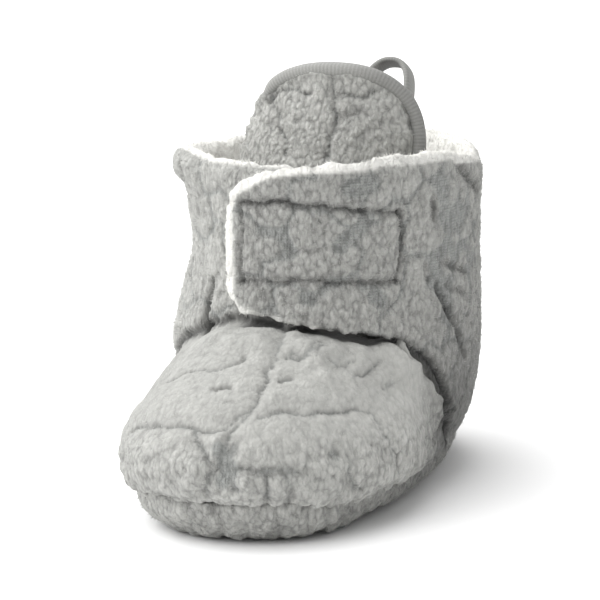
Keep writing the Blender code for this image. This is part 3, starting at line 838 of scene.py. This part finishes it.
# share of white lining: inside the collar, on its crown and round the strap's edge
def liningOn(skin, edges, look):
    rim = look["collarRim"] + (look["strapRim"] - look["collarRim"]) * skin.onStrap
    lining = ease(-0.25, 0.25, skin.gapOut - rim + look["rimFray"] * softNoise(skin.places, 1.4, 70))
    crown = ease(73.5, 74.3, skin.z + look["crownFray"] * softNoise(skin.places, 1.4, 72))
    lining = np.maximum(lining, look["crownWhite"] * crown * (skin.turn > 44.0))
    # it stays out of sight along the lower edges and behind the strap's root
    lowEdge = ease(6.0, 4.0, np.abs(skin.aboveEdge)) * ((skin.turn > -7.0) | (skin.turn < -20.0))
    root = ease(53.0, 49.0, skin.z) * ease(24.0, 32.0, skin.turn) * (skin.turn < 75.0)
    lining = lining * (1.0 - lowEdge * ease(-0.6, -0.2, skin.facing))
    lining = lining * (1.0 - root * ease(29.0, 31.0, skin.radius))
    # its pile wraps round the strap's edge
    onFace = skin.strapFace * ((skin.turn > -24.0) & (skin.turn < 52.0))
    lining = lining * (1.0 - onFace)
    fray = look["edgeFray"] * softNoise(skin.places, 1.3, 71)
    widening = ease(24.0, -13.0, skin.turn)
    lowWide = look["lowWhiteEdge"] + (look["whiteEdge"] - look["lowWhiteEdge"]) * widening
    for line, wide in zip(edges, (look["whiteEdge"], lowWide)):
        gap = farFrom(skin.places, evenly(line, 0.4), 4.0) + fray
        lining = np.maximum(lining, look["rimWhite"] * ease(wide + 0.5, wide - 0.4, gap) * onFace)
    return lining


# painted light and shade by place: the vamp painted darker to the left and the toe paler, the strap's front
# and the sides painted darker as painted shade, and the low right a painted shadow
def paintedLightByPlace(skin, look):
    vampPaintedLight = (look["vampPaintedAcross"] * skin.x - look["vampPaintedShade"] + look["toePaintedLight"] * skin.toe) * skin.vamp
    strapPaintedShade = look["strapPaintedShade"] * skin.onStrap * ease(26.0, 6.0, skin.x)
    leftPaintedShade = look["sidePaintedShade"] * ease(-18.0, -40.0, skin.turn) * skin.front * (1.0 - skin.vamp)
    rightPaintedShade = look["sidePaintedShade"] * ease(45.0, 70.0, skin.turn) * skin.front
    lowPaintedShade = look["lowPaintedShade"] * ease(52.0, 16.0, skin.z) * within(skin.turn, (40.0, 78.0), (170.0, 85.0))
    return (1.0 + vampPaintedLight) * (1.0 - strapPaintedShade) * (1.0 - leftPaintedShade) * (1.0 - rightPaintedShade) * (1.0 - lowPaintedShade)


# painted shade deep under the strap and under the quarter's lower edge
def paintedShadeUnderEdges(skin, puffed, look):
    strapAt = look["faceAt"] + look["strapLift"] * ease(58.0, 16.0, skin.turn)
    behind = skin.radius + puffed - strapAt - look["strapLoose"] * ease(46.0, 20.0, skin.turn)
    high = ease(28.0, 31.0, skin.z)
    under = skin.vamp * ease(-0.6, -2.4, behind) * within(skin.turn, (-16.0, -6.0), (60.0, 50.0)) * high
    downward = ease(-0.35, -0.75, skin.normals[:, 2]) * ease(3.0, 1.5, skin.aboveEdge) * (1.0 - skin.vamp)
    deep = ease(-1.5, -3.0, behind) * within(skin.turn, (-6.0, 4.0), (60.0, 50.0)) * high
    return np.max([under, downward * (np.abs(skin.turn) < 86.0), deep * ease(49.0, 46.0, skin.z)], axis=0)


# the collar sinks under its own weight at the back and sides, and stands up beside the strap's root
def collarSag(skin, look):
    back = ease(80.0, 130.0, np.abs(skin.turn)) * ease(50.0, 75.0, skin.z)
    left = within(skin.turn, (-52.0, -78.0), (-140.0, -100.0)) * ease(69.0, 75.0, skin.z)
    right = within(skin.turn, (68.0, 92.0), (150.0, 110.0)) * ease(66.0, 75.0, skin.z)
    lift = within(skin.turn, (30.0, 46.0), (82.0, 64.0)) * ease(66.0, 74.0, skin.z)
    sag = look["heelSag"] * back + look["leftSag"] * left + look["rightSag"] * right
    return sag - look["rightLift"] * lift


def dressUpper(look):
    upper, plain, edges = makeUpper(look)
    print("upper skin", len(upper.data.polygons))
    skin = readUpper(upper, plain, look)
    bpy.data.objects.remove(plain)
    places, normals, outside, vamp, toe = skin.places, skin.normals, skin.outside, skin.vamp, skin.toe
    lining = liningOn(skin, edges, look)
    calm = vamp * (1.0 - look["toeStir"] * toe)
    height, share, shade = carvedPile(places, carving, 11, drawnChannels, look["quiet"] * calm)
    # painted shade: a dark line is painted where the quarter laps over the vamp, which swells only in the
    # open
    lap = np.clip(-foldDepth(places, lapLines) / look["lapDepth"], 0.0, 1.0)
    inOpen = (1.0 - lap) * ease(0.0, 0.4, np.maximum(skin.facing, normals[:, 2]))
    puffed = vamp * foldDepth(places, vampSwells) * inOpen
    # painted shade where the strap and the quarter's edge overhang
    under = paintedShadeUnderEdges(skin, puffed, look)
    clumps = np.clip(nubGap(places, look["clumpSize"], 16), 0.0, 1.0) ** 2
    # painted light and shade by place, then painted shade under the edges and along the lap
    shade = shade * paintedLightByPlace(skin, look) * (1.0 - look["underPaintedShade"] * under) * (1.0 - look["lapPaintedShade"] * lap)
    # painted shade between the lumps of pile on the toe
    shade = shade * (1.0 - look["clumpPaintedShade"] * clumps * toe)
    folds = foldDepth(places, stitchBox + creases + lapLines)
    shape = foldDepth(places, swells) + puffed + look["clump"] * (0.6 - clumps) * toe
    even = 1.0 - look["strapEven"] * skin.onStrap * ease(4.0, 1.5, np.abs(skin.aboveEdge))
    fluff = (look["roll"] + look["fluff"] * softNoise(places, 2.0, 77)
             + look["fineFluff"] * softNoise(places, 1.1, 78))
    nearRim = ease(6.0, 1.0, np.abs(skin.gapOut - 2.2)) * lining
    raised = (height - 0.2) * even - look["sink"] + folds + shape
    raised = raised * outside + fluff * nearRim * (1.0 - outside)
    moved = places + normals * raised[:, None]
    # the vamp's edge rolls out and down on to the sole
    seam = ease(14.5, 9.0, skin.z) * vamp * outside
    moved += awayFromFoot(places) * (look["seamOut"] * seam)[:, None]
    moved[:, 2] -= look["seamDown"] * seam + collarSag(skin, look)
    putPlaces(upper, moved)
    # painted shade in the folds, creases, laps and the strap's sewn box
    sunk = np.exp(np.minimum(folds, 0.0) * 0.9)
    sides = look["leftCalm"] * ease(-14.0, -28.0, skin.turn) + look["rightCalm"] * ease(46.0, 60.0, skin.turn)
    noteOn(upper, pile=share * outside + 1.0 - outside, lining=lining,
           calm=look["vampCalm"] * calm + sides * skin.front * (1.0 - vamp),
           shade=(1.0 - look["foldPaintedShade"] * (1.0 - sunk)) * shade)
    wear(upper, fleece)
    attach(upper, "root")
    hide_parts("upper", "strap")
    tall = look["fibre"] * (0.35 + 0.65 * share) * (0.5 + 0.5 * sunk)
    grey = outside * (1.0 - lining) * (0.5 + 0.5 * share) * ease(0.4, 0.85, shade)
    onVamp = grey * vamp * (1.0 - under)
    growPile("vampNap", upper, look["frontFibres"], onVamp, 0.6 * tall, look["lean"], paintedLightFibre, 101)
    growPile("shaftNap", upper, look["shaftFibres"], grey * (1.0 - vamp), tall, look["lean"], napFibre, 102)
    inCollar = lining * ease(20.0, 3.0, skin.gapOut) * ease(36.0, 46.0, skin.z)
    fluffy = look["liningFibre"] * (1.0 - 0.5 * outside)
    growPile("liningNap", upper, look["liningFibres"], inCollar, fluffy, look["lean"], liningFibre, 103)
    print("upper dressed")


dressUpper(upperLook)

# tongue: a padded tab of the same fleece with a white back
tongueLook = {
    "voxel": 0.95, "smooth": 5, "keepInside": 0.3, "rim": 2.0, "fibres": 7000, "fibre": 0.7, "lean": 1.2,
    "nub": 0.5, "nubSize": 1.2, "edge": 1.5, "leftEdge": 2.2, "leftEven": 0.7, "sink": 0.3, "quiet": 0.65,
    "allOverPaintedLight": 1.06,
    "channels": [
        channel(0.1, (5.0, 1.0, 91.6), (5.7, -0.1, 86.6), (6.4, -0.9, 82.4), (6.4, -2.4, 78.3),
                (6.5, -3.6, 74.8)),
        channel(0.1, (-10.2, 4.8, 85.8), (-7.7, 2.1, 82.6), (-7.6, 0.9, 79.6), (-4.9, -1.4, 77.0),
                (-5.2, -2.3, 74.3)),
        channel(0.05, (-7.0, 3.0, 88.2), (-3.6, 1.7, 88.5), (0.0, 0.4, 87.2)),
        channel(0.05, (7.7, 0.5, 88.4), (12.6, 1.2, 87.3), (15.0, 2.6, 89.1)),
    ],
    "creases": [
        fold(0.7, -1.1, (-11.2, 4.4, 85.6), (-10.2, 4.2, 86.4), (-8.4, 4.3, 87.3)),
        fold(1.2, -0.7, (7.6, -0.4, 82.4), (9.6, -0.1, 83.5), (11.6, 0.6, 84.6)),
    ],
}


# the tongue's left side, where its fleece swells over the binding
def tongueLeft(places):
    return ease(-8.0, -13.0, places[:, 0]) * ease(91.0, 86.0, places[:, 2])


def dressTongue(look):
    tongue = copyOf("tongue", "tongueFleece")
    plain = twinOf(tongue)
    softSkin(tongue, look, lambda at, facing: innerSide(plain, at, facing))
    places = placesOf(tongue)
    normals = normalsOf(tongue)
    gapOut = gapToOutside(plain, places)
    bpy.data.objects.remove(plain)
    outside = 1.0 - ease(0.6, 2.0, gapOut)
    facing = facingOut(places, normals)
    lining = np.maximum(ease(-0.3, 0.3, gapOut - look["rim"]), ease(-0.1, -0.5, facing))
    pileLook = {**carving, "nub": look["nub"], "nubSize": look["nubSize"]}
    height, share, shade = carvedPile(places, pileLook, 41, look["channels"], look["quiet"])
    folds = foldDepth(places, look["creases"])
    left = tongueLeft(places)
    edge = ease(0.85, 0.4, np.abs(facing))
    height = height * (1.0 - look["leftEven"] * left * edge)
    raised = (height - look["sink"] + folds) * outside + edge * (look["edge"] + look["leftEdge"] * left)
    putPlaces(tongue, places + normals * raised[:, None])
    # painted light: the tongue painted a little paler; painted shade in its creases
    shade = look["allOverPaintedLight"] * shade * np.exp(np.minimum(folds, 0.0) * 0.6)
    noteOn(tongue, pile=share * outside + 1.0 - outside, lining=lining, calm=0.0 * share,
           shade=shade * outside + 1.0 - outside)
    wear(tongue, fleece)
    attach(tongue, "root")
    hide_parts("tongue")
    tall = look["fibre"] * (0.4 + 0.6 * share)
    growPile("tongueNap", tongue, look["fibres"], outside * (1.0 - lining), tall, look["lean"], napFibre, 104)
    print("tongue dressed")


dressTongue(tongueLook)


# ribbed tape: knitted polyester binding, a soft matt band with fine ribs across it
tapeLook = {
    "colour": "#8B8B88", "ribColour": "#999996",
    "grain": 0.22, "detail": 2.0, "tone": (0.3, 0.7, 0.88, 1.08), "bump": 0.5, "bumpHeight": 0.15,
}


def ribTape(name, look):
    material, tree, shader = newMaterial(
        name, Roughness=0.82, Sheen_Weight=0.1, Specular_IOR_Level=0.2, IOR=1.5)
    rib, shade = [addNode(tree, "ShaderNodeAttribute", attribute_name=note).outputs["Fac"]
                  for note in ("rib", "shade")]
    mixed = addNode(tree, "ShaderNodeMix", {"A": linear(look["colour"]), "B": linear(look["ribColour"])},
                    {"Factor": rib}, data_type="RGBA")
    grainOver(tree, shader, look, colourOf(mixed), shade)
    return material


tape = ribTape("ribbedTapeGrey", tapeLook)


# a rounded square's side as a signed power of a wave
def squared(wave, power):
    return np.sign(wave) * np.abs(wave) ** (2.0 / power)


# sweeps a soft flat section along a path, with ribs across it; the ends are closed
def sweepTape(name, path, side, out, slim, look):
    count = look["round"]
    around = np.linspace(0.0, 2.0 * math.pi, count, endpoint=False)
    wide = squared(np.cos(around), look["square"]) * look["wide"] / 2
    thick = squared(np.sin(around), look["square"]) * look["thick"] / 2
    rib = 0.5 + 0.5 * np.cos(runAlong(path) * 2.0 * math.pi / look["pitch"])
    swell = 1.0 + look["rib"] * (rib - 0.5) / (look["thick"] / 2)
    rings = (path[:, None] + side[:, None] * (wide[None] * slim[:, None])[:, :, None]
             + out[:, None] * (thick[None] * (slim * swell)[:, None])[:, :, None])
    faces = []
    for r in range(len(path) - 1):
        for c in range(count):
            n = (c + 1) % count
            faces.append((r * count + c, r * count + n, (r + 1) * count + n, (r + 1) * count + c))
    first = len(path) * count
    last = first - count
    faces += [((c + 1) % count, c, first) for c in range(count)]
    faces += [(last + c, last + (c + 1) % count, first + 1) for c in range(count)]
    piece = newPiece(name, np.concatenate([rings.reshape(-1, 3), path[:1], path[-1:]]), faces)
    editAll(piece, bpy.ops.mesh.normals_make_consistent, inside=False)
    noteOn(piece, rib=np.concatenate([np.repeat(rib, count), rib[:1], rib[-1:]]))
    wear(piece, tape)
    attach(piece, "root")
    return piece


# a round arch on two straight legs, as places across and heights over the legs' top
def archOf(look, height, leg):
    angle = np.radians(np.linspace(0.0, 180.0, look["archPoints"]))
    across = -look["half"] * squared(np.cos(angle), look["power"])
    up = height * squared(np.abs(np.sin(angle)), look["power"])
    rise = np.linspace(-leg, 0.0, look["legPoints"], endpoint=False)
    across = np.concatenate([np.full(len(rise), across[0]), across, np.full(len(rise), across[-1])])
    return across, np.concatenate([rise, up, rise[::-1]])


# binding round the tongue: half width, shoulder and top in mm, lean rows of height, x and y
bindingLook = {
    "half": 23.2, "shoulder": 71.0, "top": 93.0, "bottom": 52.0, "power": 2.3, "radius": 27.55, "middle": 1.5,
    "lean": [(35.0, 0.0, 0.0), (44.0, 0.0, 0.0), (50.0, 0.6, 1.5), (56.0, 1.5, 3.5), (63.0, 2.4, 6.0),
             (70.0, 3.2, 8.5), (76.0, 3.8, 10.6), (82.0, 4.3, 12.5), (93.0, 5.2, 15.5)],
    "wide": 3.2, "thick": 4.8, "square": 3.0, "round": 16, "pitch": 0.8, "rib": 0.07, "step": 0.2,
    "archPoints": 240, "legPoints": 60, "slim": 0.45, "rightPaintedShade": 0.2,
}


def dressBinding(look):
    across, up = archOf(look, look["top"] - look["shoulder"], look["shoulder"] - look["bottom"])
    flat = evenly(np.stack([across, look["shoulder"] + up], axis=1), look["step"])
    high = flat[:, 1]
    turn = flat[:, 0] / look["radius"]
    reach = look["radius"] - look["middle"]
    path = np.stack([reach * np.sin(turn) + alongRows(look["lean"], 1, high),
                     ankleY - reach * np.cos(turn) + alongRows(look["lean"], 2, high), high], axis=1)
    for k in range(3):
        path[3:-3, k] = np.convolve(path[:, k], np.ones(7) / 7, "valid")
    out = np.stack([-np.sin(turn), np.cos(turn), 0.0 * turn], axis=1)
    run = unit(np.gradient(path, axis=0))
    out = unit(out - run * np.sum(out * run, axis=1, keepdims=True))
    slim = 1.0 - look["slim"] * tongueLeft(path)
    binding = sweepTape("tongueBinding", path, np.cross(run, out), out, slim, look)
    # painted shade: the binding's right side painted darker
    noteOn(binding, shade=1.0 - look["rightPaintedShade"] * ease(6.0, 18.0, placesOf(binding)[:, 0]))
    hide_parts("tongue_binding")


dressBinding(bindingLook)

# pull loop of the same tape, sewn into the collar's back and leaning away from it
loopLook = {
    "half": 6.1, "height": 13.0, "sunk": 5.0, "rim": 75.3, "footY": 56.0, "lean": 24.0, "power": 2.4,
    "sideLean": 1.0, "wide": 6.0, "thick": 1.5, "square": 4.0, "round": 16, "pitch": 0.7, "rib": 0.08,
    "step": 0.18, "archPoints": 160, "legPoints": 30, "dim": 0.12, "innerPaintedShade": 0.42,
}


def dressLoop(look):
    x, rise = archOf(look, look["height"], look["sunk"])
    x = x + look["sideLean"] * np.maximum(rise, 0.0) / look["height"]
    lean = np.radians(look["lean"]) * ease(0.0, look["height"], rise)
    path = np.stack([x, look["footY"] + rise * np.sin(lean), look["rim"] + rise * np.cos(lean)], axis=1)
    path = evenly(path, look["step"])
    run = unit(np.gradient(path, axis=0))
    tilt = np.radians(look["lean"]) * ease(0.0, look["height"], path[:, 2] - look["rim"])
    leanAxis = np.stack([0.0 * tilt, np.cos(tilt), -np.sin(tilt)], axis=1)
    out = unit(np.cross(run, leanAxis))
    loop = sweepTape("pullLoop", path, np.cross(out, run), out, np.ones(len(path)), look)
    # painted shade on the inside of the loop; the whole loop is also painted a little darker
    inward = unit(np.array([0.0, look["footY"], look["rim"]]) - path)
    rings = placesOf(loop)[:-2].reshape(len(path), look["round"], 3)
    inner = ease(0.1, 0.6, np.sum((rings - path[:, None]) * inward[:, None], axis=2)).ravel()
    noteOn(loop, shade=1.0 - look["dim"] - look["innerPaintedShade"] * np.append(inner, (0.0, 0.0)))
    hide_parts("pull_loop")


dressLoop(loopLook)
print("binding and loop swept")

# grips: three rows of x and pitch in mm
gripLook = {
    "flats": 10.6, "thick": 1.2, "corner": 0.9, "edge": 0.35,
    "rows": [(-15.4, 17.2), (-0.6, 21.0), (14.2, 17.2)], "inRow": 5,
}
gripSpots = [(x, (place - (gripLook["inRow"] - 1) / 2) * pitch) for x, pitch in gripLook["rows"]
             for place in range(gripLook["inRow"])]
# sole: padded fleece with a gathered edge, its pile pressed flat under the grips
soleLook = {
    "voxel": 1.15, "smooth": 5, "keepInside": 0.12, "lowest": 0.2,
    "fibres": 11000, "fibre": 0.65, "lean": 1.2,
    "gather": 0.06, "gatherPitch": 4.6, "gatherPaintedShade": 0.1, "clump": 0.75, "clumpSize": 2.6, "clumpPaintedShade": 0.42,
    "sink": 0.4, "press": 0.05, "crowd": 0.5, "crowdWidth": 1.6, "quiet": 0.3,
    "bulge": 0.5, "toeBulge": 1.6, "tuck": 1.8, "lip": 1.9, "toeDrop": 1.2,
    "allOverPaintedLight": 1.08, "rightPaintedShade": 0.38, "pressDim": 0.2,
}


# share of the way from the foot's middle line to the sole's edge
def soleReach(places):
    ahead = np.maximum(ballY - places[:, 1], 0.0) / (ballY - toeTip)
    behind = np.maximum(places[:, 1] - heelY, 0.0) / (heelTip - heelY)
    return np.hypot(places[:, 0] / halfWidth, ahead + behind)


# gap to the edge of the nearest grip, below zero inside it
def hexGap(places):
    gap = np.full(len(places), far)
    for x, y in gripSpots:
        dx = np.abs(places[:, 0] - x)
        dy = np.abs(places[:, 1] - y)
        gap = np.minimum(gap, np.maximum(dy, dx * math.sqrt(3) / 2 + dy / 2) - gripLook["flats"] / 2)
    return gap


def dressSole(look):
    sole = copyOf("sole", "soleFleece")
    softSkin(sole, look, lambda at, facing: (facing[:, 2] > 0.7) & (at[:, 2] > 7.0))
    places = placesOf(sole)
    normals = normalsOf(sole)
    high = places[:, 2]
    top = ease(0.35, 0.8, normals[:, 2])
    side = ease(0.75, 0.3, np.abs(normals[:, 2]))
    under = ease(-0.5, -0.9, normals[:, 2])
    height, share, shade = carvedPile(places, carving, 61, (), look["quiet"] * (1.0 - under))
    clumps = np.clip(nubGap(places, look["clumpSize"], 66), 0.0, 1.0) ** 2
    height = height + look["clump"] * (0.6 - clumps)
    away = np.degrees(np.arctan2(places[:, 0], -places[:, 1]))
    run = away * 0.75 + 1.6 * softNoise(places, 6.0, 65) + 0.35 * high
    gather = np.sin(run * 2.0 * math.pi / look["gatherPitch"]) * side
    toGrip = hexGap(places)
    pressed = ease(look["crowdWidth"], 0.1, toGrip) * under
    crowd = look["crowd"] * np.exp(-(toGrip - look["crowdWidth"]) ** 2) * under
    bulge = look["bulge"] + look["toeBulge"] * ease(34.0, 14.0, np.abs(away))
    raised = (height - look["sink"] + look["gather"] * gather + bulge * side + crowd) * (1.0 - top)
    raised = raised * (1.0 - pressed) - look["press"] * pressed
    moved = places + normals * raised[:, None]
    # its inner front corner rounds under
    reach = soleReach(places)
    corner = within(away, (-10.0, -24.0), (-75.0, -50.0)) * ease(6.5, 1.5, high) * ease(0.6, 0.95, reach)
    moved -= awayFromFoot(places) * (look["tuck"] * corner)[:, None]
    # the top edge swells up against the upper, and the toe comes down
    moved[:, 2] += look["lip"] * ease(0.87, 0.96, reach) * ease(3.5, 7.0, high)
    moved[:, 2] -= look["toeDrop"] * ease(-30.0, -50.0, places[:, 1]) * ease(6.0, 3.0, high)
    moved[:, 2] = np.maximum(moved[:, 2], look["lowest"])
    putPlaces(sole, moved)
    # painted shade: the sole's right side darker, and darker between its lumps and in the troughs of its
    # gathers; the whole sole painted a little paler as painted light
    dim = 1.0 - look["rightPaintedShade"] * within(away, (20.0, 75.0), (175.0, 110.0)) * (1.0 - under)
    shade = look["allOverPaintedLight"] * shade * (1.0 - look["clumpPaintedShade"] * clumps) * dim
    shade = shade * (1.0 + look["gatherPaintedShade"] * np.minimum(gather, 0.0)) * (1.0 - look["pressDim"] * pressed)
    noteOn(sole, pile=share, lining=0.0 * share, calm=0.0 * share, shade=shade)
    wear(sole, fleece)
    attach(sole, "root")
    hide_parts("sole")
    tall = look["fibre"] * (0.4 + 0.6 * share) * (1.0 - 0.75 * under)
    free = (1.0 - top) * (1.0 - pressed) * ease(0.4, 0.85, shade)
    growPile("soleNap", sole, look["fibres"], free, tall, look["lean"], napFibre, 105)
    print("sole dressed")


dressSole(soleLook)

# insole: white short-pile fleece, soft and slightly uneven
insoleLook = {
    "voxel": 1.6, "smooth": 4, "lump": 0.35, "fineLump": 0.6,
    "colour": "#ECEBE6", "grain": 0.9, "detail": 3.0, "tone": (0.3, 0.7, 0.86, 1.03), "bump": 0.7,
    "bumpHeight": 0.6,
}


def liningFleece(name, look):
    material, tree, shader = newMaterial(
        name, Roughness=0.96, Sheen_Weight=0.15, Specular_IOR_Level=0.12, IOR=1.5)
    grainOver(tree, shader, look)
    return material


def dressInsole(look):
    insole = copyOf("insole", "insoleFleece")
    softened(insole, look)
    places = placesOf(insole)
    normals = normalsOf(insole)
    lump = softNoise(places, 3.0, 81) + look["fineLump"] * softNoise(places, 1.6, 82)
    lump = look["lump"] * lump * ease(0.2, 0.7, normals[:, 2])
    putPlaces(insole, places + normals * lump[:, None])
    wear(insole, liningFleece("liningFleeceWhite", look))
    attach(insole, "root")
    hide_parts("insole")


dressInsole(insoleLook)


# grips: moulded thermoplastic rubber, matt and faintly grainy with softened edges
rubberLook = {
    "colour": "#838985", "grain": 0.5, "detail": 3.0, "tone": (0.3, 0.7, 0.92, 1.05), "bump": 0.3,
    "bumpHeight": 0.08,
}


def gripRubber(name, look):
    material, tree, shader = newMaterial(name, Roughness=0.62, Specular_IOR_Level=0.4, IOR=1.5)
    grainOver(tree, shader, look)
    return material


def makeGrips(look):
    rubber = gripRubber("mouldedRubberGrey", rubberLook)
    bpy.ops.object.select_all(action="DESELECT")
    bpy.ops.mesh.primitive_cylinder_add(vertices=6, radius=look["flats"] / math.sqrt(3) * mm,
                                        depth=look["thick"] * mm, rotation=(0, 0, math.radians(30)))
    model = bpy.context.object
    bpy.ops.object.transform_apply(location=True, rotation=True, scale=True)
    # corners first, then the lower and upper edges
    bpy.ops.object.mode_set(mode="EDIT")
    bpy.ops.mesh.select_mode(type="EDGE")
    bpy.ops.mesh.select_all(action="DESELECT")
    bpy.ops.object.mode_set(mode="OBJECT")
    heights = placesOf(model)[:, 2]
    for edge in model.data.edges:
        a, b = edge.vertices
        edge.select = bool(abs(heights[a] - heights[b]) > look["thick"] / 2)
    bpy.ops.object.mode_set(mode="EDIT")
    bpy.ops.mesh.bevel(offset=look["corner"] * mm, segments=4, affect="EDGES")
    bpy.ops.object.mode_set(mode="OBJECT")
    finishWith(model, "BEVEL", width=look["edge"] * mm, segments=3, limit_method="ANGLE",
               angle_limit=math.radians(50))
    for number, (x, y) in enumerate(gripSpots, 1):
        grip = twinOf(model)
        grip.name = f"gripPad{number:02d}"
        bpy.context.scene.collection.objects.link(grip)
        grip.data.transform(Matrix.Translation(Vector((x, y, look["thick"] / 2)) * mm))
        wear(grip, rubber)
        pickOnly(grip)
        bpy.ops.object.shade_smooth_by_angle(angle=math.radians(40))
        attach(grip, "root")
        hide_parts(f"grip_{number:02d}")
    bpy.data.objects.remove(model)


makeGrips(gripLook)
print("insole and grips made")
